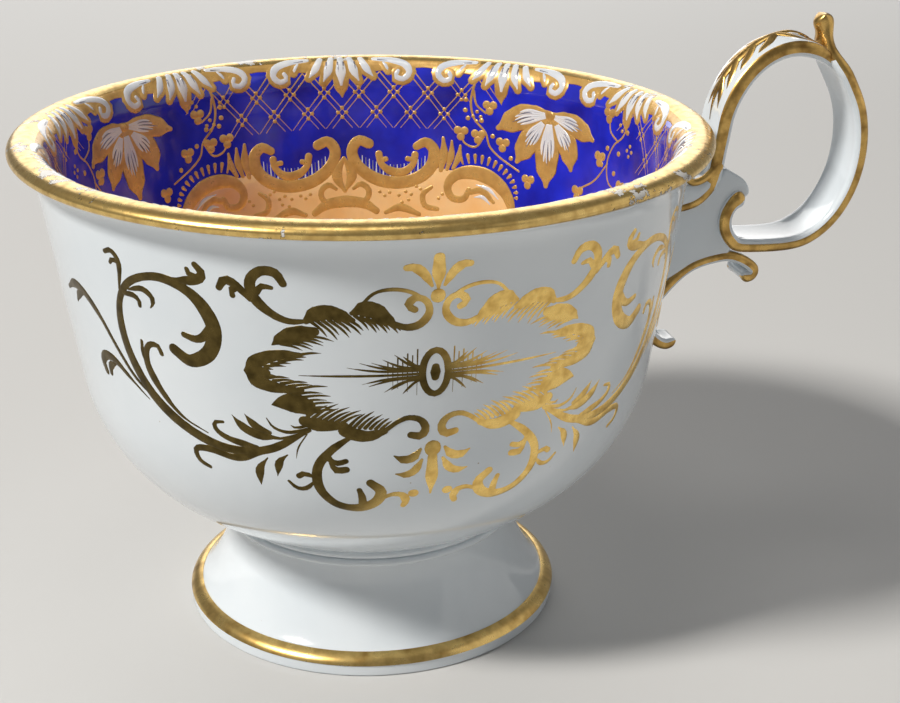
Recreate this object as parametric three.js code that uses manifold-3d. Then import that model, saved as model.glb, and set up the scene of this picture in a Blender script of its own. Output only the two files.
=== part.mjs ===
// Footed porcelain teacup: a bell-shaped bowl on a turned pedestal foot, a loop handle of moulded
// scrolls luted to the wall, and the enamel grounds and gilding that are fired on afterwards.
// Millimetres, +Z up. The origin is on the bowl's axis at the standing plane, the handle is on +X.
import * as THREE from 'three';
import { mergeVertices } from 'three/addons/utils/BufferGeometryUtils.js';
import Module from 'manifold-3d';

// Bowl
const RIM_RADIUS = 46; // outermost edge of the everted lip
const RIM_HEIGHT = 68.5; // crest of the lip above the standing plane
const CREST_INSET = 2.1; // crest of the lip, in from its outermost edge
const LIP_THICKNESS = 1.6; // upright thickness of the lip's rounded nose
const LIP_NOSE = 0.6; // how far the nose stands out past the lip's lower edge
const LIP_FLARE = 4.8; // height over which the wall flares out into the lip
const WALL_TOP_RADIUS = 42.9; // wall where the lip begins to flare
const BELLY_RADIUS = 39; // wall where the belly's curve ends
const BELLY_HEIGHT = 37.7;
const BELLY_TURN = 12.7; // length of the upright pull on the belly's curve
const BELLY_LEAN = 1.6; // lean of that pull
const BELLY_SPREAD = 7.5; // outward pull where the belly leaves the foot
const BELLY_RISE = 2.9; // rise of that pull
const WALL = 2.2; // thickness of the bowl's wall
const FLOOR = 2.4; // thickness under the well
const WELL_RADIUS = 17; // flat of the well

// Pedestal foot
const FOOT_HEIGHT = 15.6; // joint of foot and bowl
const NECK_RADIUS = 20; // that joint's radius
const FOOT_RADIUS = 26.2; // widest part of the plinth
const PLINTH_HEIGHT = 1.6; // plain edge under the gilded slope
const PLINTH_ROUND = 0.4; // eased lower edge of the plinth
const SLOPE_HEIGHT = 1.2; // gilded slope above the plinth
const SLOPE_INSET = 1.6; // how far the slope draws in
const STANDING_WIDTH = 2.6; // flat ring that the cup stands on
const RECESS_HEIGHT = 12.6; // hollow under the foot
const RECESS_RADIUS = 14; // hollow's radius at its top
const FILLET_STEP = 1.2; // height of each turned fillet on the neck
const FILLET_PROUD = 0.7; // how far a fillet stands out
const FILLET_COUNT = 2;

// Handle loop: an ellipse in the plane of the handle, shared by the strap and the ring
const LOOP_CLEAR = 3.6; // loop's centre line, clear of the lip's edge
const LOOP_DROP = 6.3; // loop's centre below the crest of the lip
const LOOP_HALF_WIDTH = 10.5;
const LOOP_HALF_HEIGHT = 13.9;
const STRAP_WIDTH = 7.2;
const STRAP_THICKNESS = 2.4;
const STRAP_FOOT_DROP = 6; // strap's foot on the wall, below the loop's centre
const STRAP_SPLAY = 2.2; // how much thicker the strap grows at its foot
const LEAF_LIFT = 1.1; // raised leaf on the strap's outer face
const RING_WIDTH = 8.4;
const RING_THICKNESS = 2.2;
const CURL_RADIUS = 3.8; // curl at the ring's lower end
const CURL_INSET = 5.6; // curl's centre, in from the loop's centre
const CURL_DROP = 10; // curl's centre below the loop's centre
const CURL_EYE = 1.2; // swelling of the curl's tip
const SPUR_RISE = 4.2; // thumb spur's tip above the loop's top
const SPUR_SET = 4.6; // thumb spur's tip, out from the loop's centre
const SPUR_WIDTH = 2.8;
const SPUR_KNOB = 1.1; // swelling of the spur's tip

// Bracket and tail scroll under the loop
const BRACKET_WIDTH = 6.4;
const BRACKET_DROP = 7; // bracket's upper edge on the wall, below the loop's centre
const BRACKET_HEIGHT = 12.7; // bracket's upper edge to its lower one, on the wall
const LOBE_INSET = 5.7; // rounded lobe that swells into the loop, in from the loop's centre
const LOBE_DROP = 6; // that lobe, below the loop's centre
const TAIL_WIDTH = 6.8;
const TAIL_THICKNESS = 1.8;
const TAIL_DROP = 5.3; // top of the tail's arch below the curl's centre
const TAIL_INSET = 3.8; // top of the tail's arch, in from the curl's centre
const TAIL_REACH = 5; // outermost turn of the tail's volute, out from the arch's top
const TAIL_FALL = 2.1; // that turn, below the arch's top
const TAIL_EYE = 0.9; // swelling of the volute's eye
const FLICK_DROP = 12.6; // tip of the flick at the tail's foot, below the arch's top
const FLICK_REACH = 6.6; // tip of the flick, out from the wall

// Fired-on layers and the slip between luted pieces
const ENAMEL = 0.2; // thickness of an enamel ground
const GILDING = 0.2; // thickness of a gilded band
const GROUND_EDGE = 51; // where the cobalt ground meets the apricot one
const LUTE = 0.3; // slip joint between luted pieces

// Facets
const TURNED_SEGMENTS = 48;
const CURVE_STEPS = 7;
const LIP_STEPS = 4;
const LIP_GILDED_STEPS = 2; // steps of the inner flare that the rim's gilding covers
const SCROLL_STATIONS = 32;
const NOSE_STATIONS = 3;

const point = (out, up) => new THREE.Vector2(out, up);
const radians = THREE.MathUtils.degToRad;

const wasm = await Module();
wasm.setup();

// Joins and cuts

function toManifold(geometry) {
  const bare = geometry.clone();
  bare.deleteAttribute('normal');
  bare.deleteAttribute('uv');
  const merged = mergeVertices(bare, 1e-4);
  const index = merged.index.array;
  const triangles = [];
  for (let i = 0; i < index.length; i += 3) {
    const [a, b, c] = [index[i], index[i + 1], index[i + 2]];
    if (a !== b && b !== c && c !== a) {
      triangles.push(a, b, c);
    }
  }
  return new wasm.Manifold(new wasm.Mesh({
    numProp: 3,
    vertProperties: new Float32Array(merged.attributes.position.array),
    triVerts: new Uint32Array(triangles),
  }));
}

function toGeometry(manifold) {
  const mesh = manifold.getMesh();
  const geometry = new THREE.BufferGeometry();
  geometry.setAttribute('position', new THREE.BufferAttribute(mesh.vertProperties, 3));
  geometry.setIndex(new THREE.BufferAttribute(mesh.triVerts, 1));
  geometry.computeVertexNormals();
  return geometry;
}

// The main body of a piece with the space of its neighbours taken out of it.
function fitted(geometry, neighbours) {
  let solid = toManifold(geometry);
  for (const neighbour of neighbours) {
    solid = solid.subtract(toManifold(neighbour));
  }
  const bodies = solid.decompose();
  bodies.sort((a, b) => b.volume() - a.volume());
  return toGeometry(bodies[0]);
}

// Turned pieces: outlines run with the clay on their left

function turned(outline) {
  const closed = outline[0].x === 0 ? outline : [...outline, outline[0]];
  const geometry = new THREE.LatheGeometry(closed, TURNED_SEGMENTS);
  geometry.rotateX(Math.PI / 2);
  return geometry;
}

// A coat of even thickness on the open side of a stretch of outline.
function coat(stretch, thickness) {
  const outer = stretch.map((here, i) => {
    const before = stretch[Math.max(i - 1, 0)];
    const after = stretch[Math.min(i + 1, stretch.length - 1)];
    const along = after.clone().sub(before).normalize();
    return point(here.x + along.y * thickness, here.y - along.x * thickness);
  });
  if (stretch.at(-1).x === 0) {
    outer.at(-1).x = 0;
  }
  return [...stretch.toReversed(), ...outer];
}

const wallTopHeight = RIM_HEIGHT - LIP_FLARE;

// The belly's curve from the foot to the upright wall, set in by the given amounts.
function bellyCurve(startRadius, startHeight, inset) {
  const end = point(BELLY_RADIUS - inset, BELLY_HEIGHT);
  return new THREE.CubicBezierCurve(
    point(startRadius, startHeight),
    point(startRadius + BELLY_SPREAD, startHeight + BELLY_RISE),
    point(end.x - BELLY_LEAN, end.y - BELLY_TURN),
    end,
  );
}

const outerBelly = bellyCurve(NECK_RADIUS, FOOT_HEIGHT, 0).getPoints(CURVE_STEPS);
const outerFlare = new THREE.QuadraticBezierCurve(
  point(WALL_TOP_RADIUS, wallTopHeight),
  point(WALL_TOP_RADIUS + LIP_NOSE, RIM_HEIGHT - LIP_THICKNESS - LIP_NOSE),
  point(RIM_RADIUS - LIP_NOSE, RIM_HEIGHT - LIP_THICKNESS),
).getPoints(LIP_STEPS);
const lipNose = new THREE.CubicBezierCurve(
  outerFlare.at(-1),
  point(RIM_RADIUS + LIP_NOSE * 0.65, RIM_HEIGHT - LIP_THICKNESS),
  point(RIM_RADIUS + LIP_NOSE * 0.65, RIM_HEIGHT),
  point(RIM_RADIUS - CREST_INSET, RIM_HEIGHT),
).getPoints(LIP_STEPS);
const innerFlare = new THREE.CubicBezierCurve(
  lipNose.at(-1),
  point(RIM_RADIUS - CREST_INSET * 2, RIM_HEIGHT),
  point(WALL_TOP_RADIUS - WALL, RIM_HEIGHT - LIP_FLARE / 2),
  point(WALL_TOP_RADIUS - WALL, wallTopHeight),
).getPoints(LIP_STEPS);
const groundEdgeShare = (GROUND_EDGE - BELLY_HEIGHT) / (wallTopHeight - BELLY_HEIGHT);
const innerGroundEdge = point(BELLY_RADIUS - WALL, BELLY_HEIGHT)
  .lerp(innerFlare.at(-1), groundEdgeShare);
const innerBelly = bellyCurve(WELL_RADIUS, FOOT_HEIGHT + FLOOR, WALL)
  .getPoints(CURVE_STEPS)
  .toReversed();
const wellCentre = point(0, FOOT_HEIGHT + FLOOR);

const bowl = turned([
  point(0, FOOT_HEIGHT),
  ...outerBelly,
  ...outerFlare,
  ...lipNose.slice(1),
  ...innerFlare.slice(1),
  innerGroundEdge,
  ...innerBelly,
  wellCentre,
]);

// Enamel grounds and the gilded rim follow the bowl's own outline
const cobaltGround = turned(coat([innerFlare.at(-1), innerGroundEdge], ENAMEL));
const apricotGround = turned(coat([innerGroundEdge, ...innerBelly, wellCentre], ENAMEL));
const rimGilding = turned(coat([...lipNose, ...innerFlare.slice(1, 1 + LIP_GILDED_STEPS)], GILDING));

// Pedestal foot with its hollow, plinth, gilded slope, flare and neck fillets
const standingInner = FOOT_RADIUS - PLINTH_ROUND - STANDING_WIDTH;
const recess = new THREE.CubicBezierCurve(
  point(RECESS_RADIUS, RECESS_HEIGHT),
  point(RECESS_RADIUS + FILLET_STEP, RECESS_HEIGHT),
  point(standingInner - SLOPE_INSET, PLINTH_HEIGHT + SLOPE_HEIGHT),
  point(standingInner, 0),
).getPoints(CURVE_STEPS);
const plinth = [
  point(FOOT_RADIUS - PLINTH_ROUND, 0),
  point(FOOT_RADIUS, PLINTH_ROUND),
  point(FOOT_RADIUS, PLINTH_HEIGHT),
];
const slope = [plinth.at(-1), point(FOOT_RADIUS - SLOPE_INSET, PLINTH_HEIGHT + SLOPE_HEIGHT)];
const neckHeight = FOOT_HEIGHT - FILLET_COUNT * FILLET_STEP;
const flare = new THREE.CubicBezierCurve(
  slope.at(-1),
  point(slope.at(-1).x - SLOPE_INSET, slope.at(-1).y + SLOPE_HEIGHT),
  point(NECK_RADIUS, neckHeight - FILLET_STEP * 3),
  point(NECK_RADIUS, neckHeight),
).getPoints(CURVE_STEPS);
const fillets = [];
for (let i = 0; i < FILLET_COUNT; i += 1) {
  const low = neckHeight + i * FILLET_STEP;
  fillets.push(point(NECK_RADIUS + FILLET_PROUD, low + FILLET_STEP * 0.3));
  fillets.push(point(NECK_RADIUS + FILLET_PROUD, low + FILLET_STEP * 0.6));
  fillets.push(point(NECK_RADIUS, low + FILLET_STEP));
}

const pedestalFoot = turned([
  point(0, RECESS_HEIGHT),
  ...recess,
  ...plinth,
  ...flare,
  ...fillets,
  point(0, FOOT_HEIGHT),
]);
const footGilding = turned(coat(slope, GILDING));

// Handle scrolls: a strap section with beaded edges, lofted along a path in the handle's plane

// Half of the strap's section as shares of its width and thickness: beads at the edges, dished faces.
const SECTION_HALF = [[0.5, 0.2], [0.44, 0.48], [0.32, 0.4], [0, 0.34], [-0.32, 0.4], [-0.44, 0.48], [-0.5, 0.2]];
const SECTION = [...SECTION_HALF, ...SECTION_HALF.map(([across, thick]) => [-across, -thick])];
const ROUND_SECTION = SECTION.map((_, k) => {
  const angle = (2 * Math.PI * (k + 0.5)) / SECTION.length;
  return [Math.cos(angle) / 2, Math.sin(angle) / 2];
});

// Stations are even along the path, with a few more to round off each end.
function stationShares(length, noseLength) {
  const nose = [];
  for (let i = 0; i < NOSE_STATIONS; i += 1) {
    nose.push((noseLength / length) * (1 - Math.cos((Math.PI / 2) * (i / NOSE_STATIONS))));
  }
  const first = noseLength / length;
  const body = [];
  for (let i = 0; i <= SCROLL_STATIONS; i += 1) {
    body.push(first + (1 - 2 * first) * (i / SCROLL_STATIONS));
  }
  return [...nose, ...body, ...nose.map((share) => 1 - share).toReversed()];
}

function scroll(path, sizeAt, grow = 0) {
  const curve = new THREE.CatmullRomCurve3(path.map((p) => new THREE.Vector3(p.x, 0, p.y)), false, 'centripetal');
  const length = curve.getLength();
  const noseLength = sizeAt(0).thickness / 2;
  const shares = stationShares(length, noseLength);
  const vertices = [];
  const faces = [];
  shares.forEach((share) => {
    const centre = curve.getPointAt(share);
    const along = curve.getTangentAt(share);
    const { width, thickness, lift = 0, roundness = 0 } = sizeAt(share);
    const fromEnd = Math.min(share, 1 - share) * length;
    const nose = fromEnd >= noseLength ? 1 : Math.sqrt(1 - (1 - fromEnd / noseLength) ** 2);
    const rounding = Math.max(nose, 0.3);
    for (let k = 0; k < SECTION.length; k += 1) {
      const across = THREE.MathUtils.lerp(SECTION[k][0], ROUND_SECTION[k][0], roundness);
      const thick = THREE.MathUtils.lerp(SECTION[k][1], ROUND_SECTION[k][1], roundness);
      const swell = thick < 0 ? lift * rounding * (0.5 - Math.abs(across)) * 2 : 0;
      const off = thick * (thickness * rounding + 2 * grow) - swell;
      const side = across * (width * (0.8 + 0.2 * rounding) + 2 * grow);
      vertices.push(centre.x - along.z * off, side, centre.z + along.x * off);
    }
  });
  const ring = SECTION.length;
  const last = shares.length - 1;
  for (let s = 0; s < last; s += 1) {
    for (let k = 0; k < ring; k += 1) {
      const next = (k + 1) % ring;
      const [a, b, c, d] = [s * ring + k, s * ring + next, (s + 1) * ring + next, (s + 1) * ring + k];
      faces.push(a, b, c, a, c, d);
    }
  }
  for (let k = 1; k < ring - 1; k += 1) {
    faces.push(0, k + 1, k);
    faces.push(last * ring, last * ring + k, last * ring + k + 1);
  }
  const geometry = new THREE.BufferGeometry();
  geometry.setAttribute('position', new THREE.Float32BufferAttribute(vertices, 3));
  geometry.setIndex(faces);
  geometry.computeVertexNormals();
  return geometry;
}

// Centres of the loop and of the ring's curl, out from the bowl's axis and up from the standing plane
const loopOut = RIM_RADIUS + LOOP_CLEAR + LOOP_HALF_WIDTH;
const loopUp = RIM_HEIGHT - LOOP_DROP;
const curlOut = loopOut - CURL_INSET;
const curlUp = loopUp - CURL_DROP;

const loopPoint = (degrees) => point(
  loopOut + LOOP_HALF_WIDTH * Math.cos(radians(degrees)),
  loopUp + LOOP_HALF_HEIGHT * Math.sin(radians(degrees)),
);

function sweep(from, to, count, at) {
  return Array.from({ length: count }, (_, i) => at(from + ((to - from) * i) / (count - 1)));
}

const smooth = THREE.MathUtils.smoothstep;

// Radius of the bowl's outside at a height, from the outline itself.
const bowlOutside = [...outerBelly, ...outerFlare];
function wallRadius(height) {
  const above = bowlOutside.findIndex((p) => p.y >= height);
  const [low, high] = [bowlOutside[above - 1], bowlOutside[above]];
  return THREE.MathUtils.mapLinear(height, low.y, high.y, low.x, high.x);
}

// The bowl's outside with the slip joint added, to seat the luted pieces against.
const bowlSeat = turned([
  point(0, FOOT_HEIGHT),
  ...bowlOutside.map((p) => point(p.x + LUTE, p.y)),
  point(0, bowlOutside.at(-1).y),
]);

// Ring scroll: from the thumb spur's knob round the outside of the loop to the curl below it
const spurTip = point(loopOut + SPUR_SET, loopUp + LOOP_HALF_HEIGHT + SPUR_RISE);
const spurRoot = loopPoint(58);
const ringPath = [
  spurTip,
  point(spurTip.x + SPUR_SET * 0.1, spurTip.y - SPUR_RISE * 0.45),
  point((spurTip.x + spurRoot.x) / 2 + SPUR_SET * 0.1, spurRoot.y + SPUR_RISE * 0.3),
  ...sweep(42, -88, 7, loopPoint),
  ...sweep(-105, -255, 6, (degrees) => point(
    curlOut + CURL_RADIUS * Math.cos(radians(degrees)),
    curlUp + CURL_RADIUS * Math.sin(radians(degrees)),
  )),
];
const ringSize = (share) => ({
  width: THREE.MathUtils.lerp(SPUR_WIDTH, RING_WIDTH, smooth(share, 0.02, 0.16)),
  thickness: RING_THICKNESS
    + SPUR_KNOB * (1 - smooth(share, 0.01, 0.06))
    + CURL_EYE * smooth(share, 0.95, 1),
  roundness: 1 - smooth(share, 0.05, 0.16),
});
const ring = scroll(ringPath, ringSize);
const ringSeat = scroll(ringPath, ringSize, LUTE);

// Upper strap: from the spur's root over the loop and down to its foot on the wall under the lip
const strapFootUp = loopUp - STRAP_FOOT_DROP;
const strapFootOut = wallRadius(strapFootUp);
const strapTurn = loopPoint(180);
const strapPath = [
  ...sweep(58, 176, 6, loopPoint),
  point(strapTurn.x - STRAP_THICKNESS * 0.45, strapTurn.y - STRAP_FOOT_DROP * 0.7),
  point((strapTurn.x + strapFootOut) / 2, strapFootUp + STRAP_THICKNESS * 0.1),
  point(strapFootOut, strapFootUp),
];
const strapSize = (share) => ({
  width: STRAP_WIDTH,
  thickness: STRAP_THICKNESS + STRAP_SPLAY * smooth(share, 0.7, 1),
  lift: LEAF_LIFT * smooth(share, 0.02, 0.14) * (1 - smooth(share, 0.35, 0.62)),
});
const strap = fitted(scroll(strapPath, strapSize), [ringSeat, bowlSeat]);
const strapSeat = scroll(strapPath, strapSize, LUTE);

// Tail scroll: a volute and an arch under the bracket, then down the wall to a flick
const tailArchOut = curlOut - TAIL_INSET;
const tailArchUp = curlUp - TAIL_DROP;
const tailTipOut = tailArchOut + TAIL_REACH;
const tailTipUp = tailArchUp - TAIL_FALL;
const flickUp = tailArchUp - FLICK_DROP;
const flickOut = wallRadius(flickUp) + FLICK_REACH;
const tailWallUp = THREE.MathUtils.lerp(flickUp, tailArchUp, 0.3);
const tailWallOut = wallRadius(tailWallUp) + LUTE + TAIL_THICKNESS / 2;
const tailPath = [
  point(tailTipOut - TAIL_THICKNESS * 0.9, tailTipUp - TAIL_THICKNESS * 0.7),
  point(tailTipOut - TAIL_THICKNESS * 0.1, tailTipUp - TAIL_THICKNESS * 0.6),
  point(tailTipOut, tailTipUp),
  point(tailTipOut * 0.55 + tailArchOut * 0.45, tailArchUp * 0.75 + tailTipUp * 0.25),
  point(tailArchOut, tailArchUp),
  point(tailWallOut * 0.45 + tailArchOut * 0.55, tailArchUp * 0.85 + tailWallUp * 0.15),
  point(tailWallOut * 0.84 + tailArchOut * 0.16, tailArchUp * 0.4 + tailWallUp * 0.6),
  point(tailWallOut, tailWallUp),
  point(tailWallOut * 0.72 + flickOut * 0.28, flickUp * 0.75 + tailWallUp * 0.25),
  point(tailWallOut * 0.35 + flickOut * 0.65, flickUp - TAIL_THICKNESS * 0.2),
  point(flickOut, flickUp),
];
const tailSize = (share) => ({
  width: TAIL_WIDTH * (1 - 0.3 * smooth(share, 0.6, 1)),
  thickness: TAIL_THICKNESS + TAIL_EYE * (1 - smooth(share, 0, 0.06)),
});
const tail = fitted(scroll(tailPath, tailSize), [bowlSeat, ringSeat]);
const tailSeat = scroll(tailPath, tailSize, LUTE);

// Bracket: the web between wall, strap, ring and tail, with a rounded lobe inside the loop
const bracketBack = NECK_RADIUS + WALL;
const bracketTop = loopUp - BRACKET_DROP;
const bracketFoot = bracketTop - BRACKET_HEIGHT;
const lobeOut = loopOut - LOBE_INSET;
const lobeUp = loopUp - LOBE_DROP;
const bracketShape = new THREE.Shape();
bracketShape.moveTo(bracketBack, bracketTop);
bracketShape.lineTo(strapFootOut, bracketTop);
bracketShape.quadraticCurveTo(strapTurn.x - WALL, bracketTop, strapTurn.x + STRAP_THICKNESS / 3, loopUp - WALL);
bracketShape.bezierCurveTo(
  strapTurn.x + STRAP_THICKNESS, loopUp - WALL * 1.6,
  lobeOut, lobeUp + WALL,
  lobeOut, lobeUp - WALL * 0.2,
);
bracketShape.lineTo(curlOut - CURL_RADIUS, curlUp);
bracketShape.lineTo(curlOut - CURL_RADIUS * 0.6, curlUp - CURL_RADIUS * 0.9);
bracketShape.lineTo(tailArchOut + WALL / 2, tailArchUp);
bracketShape.lineTo(tailArchOut, tailArchUp);
bracketShape.quadraticCurveTo(
  (tailArchOut + tailWallOut) / 2, tailArchUp - WALL / 2,
  tailWallOut, bracketFoot,
);
bracketShape.lineTo(bracketBack, bracketFoot);
const bracketBlank = new THREE.ExtrudeGeometry(bracketShape, {
  depth: BRACKET_WIDTH,
  bevelEnabled: false,
  curveSegments: CURVE_STEPS,
});
bracketBlank.rotateX(Math.PI / 2);
bracketBlank.translate(0, BRACKET_WIDTH / 2, 0);
const bracket = fitted(bracketBlank, [bowlSeat, strapSeat, ringSeat, tailSeat]);

// The cup

const PORCELAIN = { color: 0xf1f3f4, roughness: 0.12, metalness: 0 };
const GOLD = { color: 0xb98a34, roughness: 0.28, metalness: 1 };
const COBALT = { color: 0x16178f, roughness: 0.15, metalness: 0 };
const APRICOT = { color: 0xf2bb85, roughness: 0.25, metalness: 0 };

const cup = new THREE.Group();

function add(name, geometry, finish) {
  const mesh = new THREE.Mesh(geometry, new THREE.MeshStandardMaterial(finish));
  mesh.name = name;
  cup.add(mesh);
}

add('bowl', bowl, PORCELAIN);
add('pedestal_foot', pedestalFoot, PORCELAIN);
add('handle_ring', ring, PORCELAIN);
add('handle_strap', strap, PORCELAIN);
add('handle_bracket', bracket, PORCELAIN);
add('handle_tail', tail, PORCELAIN);
add('cobalt_ground', cobaltGround, COBALT);
add('apricot_ground', apricotGround, APRICOT);
add('rim_gilding', rimGilding, GOLD);
add('foot_gilding', footGilding, GOLD);

export default cup;
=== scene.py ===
import math
from bisect import bisect_right

import bmesh
import bpy
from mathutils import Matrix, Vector


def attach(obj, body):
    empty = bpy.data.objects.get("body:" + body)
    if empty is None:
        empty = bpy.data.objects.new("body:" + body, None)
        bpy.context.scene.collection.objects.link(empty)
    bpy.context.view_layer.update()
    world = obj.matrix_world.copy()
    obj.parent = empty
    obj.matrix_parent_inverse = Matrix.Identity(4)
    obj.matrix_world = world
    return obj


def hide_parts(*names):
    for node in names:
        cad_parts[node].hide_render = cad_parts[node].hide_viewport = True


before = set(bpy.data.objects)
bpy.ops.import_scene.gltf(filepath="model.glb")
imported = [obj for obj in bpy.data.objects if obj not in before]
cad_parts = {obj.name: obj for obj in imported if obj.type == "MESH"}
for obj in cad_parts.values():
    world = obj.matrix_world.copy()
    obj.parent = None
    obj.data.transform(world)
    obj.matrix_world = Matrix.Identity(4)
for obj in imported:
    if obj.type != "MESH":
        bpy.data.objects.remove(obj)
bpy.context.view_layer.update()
scene = bpy.context.scene
scene.view_settings.view_transform = "Standard"

# Studio: a plain pale floor and backdrop, seen from the photograph's place, a little above the rim and to
# the left of the handle. The key lamp stands high on the left, a small one hangs overhead, the gold
# mirrors a broad one behind, and a large faint one fills the right.
MM = 0.001
VIEWPOINT = Vector((-40.6, -212.84, 121.62)) * MM
LOOKS_AT = Vector((11.19, -2.13, 35.83)) * MM
LENS = 66.77
SENSOR_WIDTH = 36
# the next three are in metres
NEAREST_SEEN = 0.01
FLOOR_HALF = 40
BACKDROP_RANGE = (0.25, 0.9)
FLOOR_COLOUR = (0.63, 0.625, 0.615, 1)
FLOOR_ROUGHNESS = 0.9
BACKDROP_COLOUR = (0.66, 0.655, 0.64, 1)
SKY_COLOUR = (0.80, 0.86, 0.95, 1)
SKY_STRENGTH = 0.08
SKY_MIRRORED = 0.25

camera_data = bpy.data.cameras.new("camera")
camera_data.lens = LENS
camera_data.sensor_width = SENSOR_WIDTH
camera_data.clip_start = NEAREST_SEEN
camera = bpy.data.objects.new("camera", camera_data)
camera.location = VIEWPOINT
camera.rotation_euler = (LOOKS_AT - VIEWPOINT).to_track_quat("-Z", "Y").to_euler()
scene.collection.objects.link(camera)
scene.camera = camera


def wire(tree, node, inputs):
    """Links each input to a socket, or sets it to a plain value."""
    for name, value in inputs.items():
        if isinstance(value, bpy.types.NodeSocket):
            tree.links.new(value, node.inputs[name])
        else:
            node.inputs[name].default_value = value


def add_node(tree, kind, inputs, **settings):
    """A new shader node with its settings and inputs."""
    node = tree.nodes.new("ShaderNode" + kind)
    for setting, value in settings.items():
        setattr(node, setting, value)
    wire(tree, node, inputs)
    return node


def object_place(tree):
    """Coordinates in the object's own metres."""
    return add_node(tree, "TexCoord", {}).outputs["Object"]


def reckon(tree, operation, *values):
    """A sum, product or test of values over the surface."""
    return add_node(tree, "Math", dict(enumerate(values)), operation=operation).outputs[0]


def rescale(tree, value, start=(0, 1), end=(0, 1), ease="LINEAR"):
    """A value carried from one range to another."""
    ranges = {"From Min": start[0], "From Max": start[1], "To Min": end[0], "To Max": end[1]}
    return add_node(tree, "MapRange", {"Value": value, **ranges}, interpolation_type=ease).outputs["Result"]


def new_material(name, inputs):
    """A material with one Principled shader set to plain values, and that shader."""
    material = bpy.data.materials.new(name)
    material.use_nodes = True
    shader = material.node_tree.nodes["Principled BSDF"]
    wire(material.node_tree, shader, inputs)
    return material, shader


def seen_rays(tree, mirrored_share):
    """1 for rays from the camera, a share for those off metal and gloss, 0 for light on the cup."""
    rays = add_node(tree, "LightPath", {}).outputs
    seen = rays["Is Camera Ray"]
    for kind in ("Is Glossy Ray", "Is Transmission Ray"):
        seen = reckon(tree, "MULTIPLY_ADD", rays[kind], mirrored_share, seen)
    return seen


def show_blend(tree, share, first, second, output):
    """Puts a blend of two shaders on a tree's output node."""
    blend = add_node(tree, "MixShader", {0: share, 1: first.outputs[0], 2: second.outputs[0]})
    wire(tree, tree.nodes[output], {"Surface": blend.outputs[0]})


floor_mesh = bpy.data.meshes.new("floor")
floor_corners = ((-1, -1), (1, -1), (1, 1), (-1, 1))
floor_mesh.from_pydata([(x * FLOOR_HALF, y * FLOOR_HALF, 0) for x, y in floor_corners], [], [(0, 1, 2, 3)])
floor = bpy.data.objects.new("floor", floor_mesh)
floor_material, floor_shader = new_material(
    "floor_paper", {"Base Color": FLOOR_COLOUR, "Roughness": FLOOR_ROUGHNESS}
)
floor_tree = floor_material.node_tree
floor_reach = add_node(floor_tree, "VectorMath", {0: object_place(floor_tree)}, operation="LENGTH")
floor_far = rescale(floor_tree, floor_reach.outputs["Value"], BACKDROP_RANGE, ease="SMOOTHSTEP")
floor_share = reckon(floor_tree, "MULTIPLY", floor_far, seen_rays(floor_tree, 1))
floor_glow = add_node(floor_tree, "Emission", {"Color": BACKDROP_COLOUR})
show_blend(floor_tree, floor_share, floor_shader, floor_glow, "Material Output")
floor_mesh.materials.append(floor_material)
scene.collection.objects.link(floor)

world = bpy.data.worlds.new("studio")
world.use_nodes = True
world_tree = world.node_tree
sky = world_tree.nodes["Background"]
wire(world_tree, sky, {"Color": SKY_COLOUR, "Strength": SKY_STRENGTH})
backdrop = add_node(world_tree, "Background", {"Color": BACKDROP_COLOUR})
show_blend(world_tree, seen_rays(world_tree, SKY_MIRRORED), sky, backdrop, "World Output")
scene.world = world

# Each lamp's place and aim, width and height, all in millimetres, then watts and colour
lamps = {
    "key_lamp": ((-1000, -330, 1130), (0, 0, 40), 240, 240, 22.5, (1, 0.97, 0.92)),
    "top_lamp": ((-60, -20, 780), (0, 0, 60), 260, 260, 0.5, (1, 0.98, 0.95)),
    "back_lamp": ((120, 760, 330), (0, 0, 40), 700, 480, 2.2, (1, 0.98, 0.95)),
    "side_lamp": ((660, -230, 330), (0, 0, 40), 900, 700, 0.9, (1, 0.96, 0.9)),
}
for name, (place, aim, width, height, watts, colour) in lamps.items():
    lamp = bpy.data.lights.new(name, "AREA")
    lamp.shape = "RECTANGLE"
    lamp.size = width * MM
    lamp.size_y = height * MM
    lamp.energy = watts
    lamp.color = colour
    holder = bpy.data.objects.new(name, lamp)
    holder.location = Vector(place) * MM
    holder.rotation_euler = (Vector(aim) - Vector(place)).to_track_quat("-Z", "Y").to_euler()
    scene.collection.objects.link(holder)

# Bowl: bone porcelain, thrown and turned to a bell shape with an everted lip, dipped in a clear
# glaze. It is one wall from the foot over the lip and down to the well inside.
TURNED_SEGMENTS = 192
CURVE_STEPS = 24
RIM_RADIUS = 46
RIM_HEIGHT = 68.5
CREST_INSET = 2.1
LIP_THICKNESS = 1.6
LIP_NOSE = 0.6
LIP_FLARE = 4.8
WALL_TOP_RADIUS = 42.9
BELLY_RADIUS = 39
BELLY_HEIGHT = 37.7
BELLY_TURN = 12.7
BELLY_LEAN = 1.6
BELLY_SPREAD = 7.5
BELLY_RISE = 2.9
WALL = 2.2
WELL_FLOOR = 2.4
WELL_RADIUS = 17
FOOT_HEIGHT = 15.6
NECK_RADIUS = 20
GLAZE_COLOUR = (0.81, 0.86, 0.90, 1)
GLAZE_SHADE = (0.72, 0.78, 0.83, 1)
GLAZE_SPECK = (0.45, 0.4, 0.34, 1)
GLAZE_GLOSS = {"IOR": 1.52, "Coat Weight": 0.4, "Coat Roughness": 0.04}
GLAZE_ROUGHNESS = (0.06, 0.16)
CLOUD_DETAIL = 4
CLOUD_SHARE = (0.35, 0.7)
SPECK_SCALE = 900
SPECK_SHARE = (0.83, 0.86)
RIPPLE_SCALE = 140
RIPPLE_HEIGHT = 0.4


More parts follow.
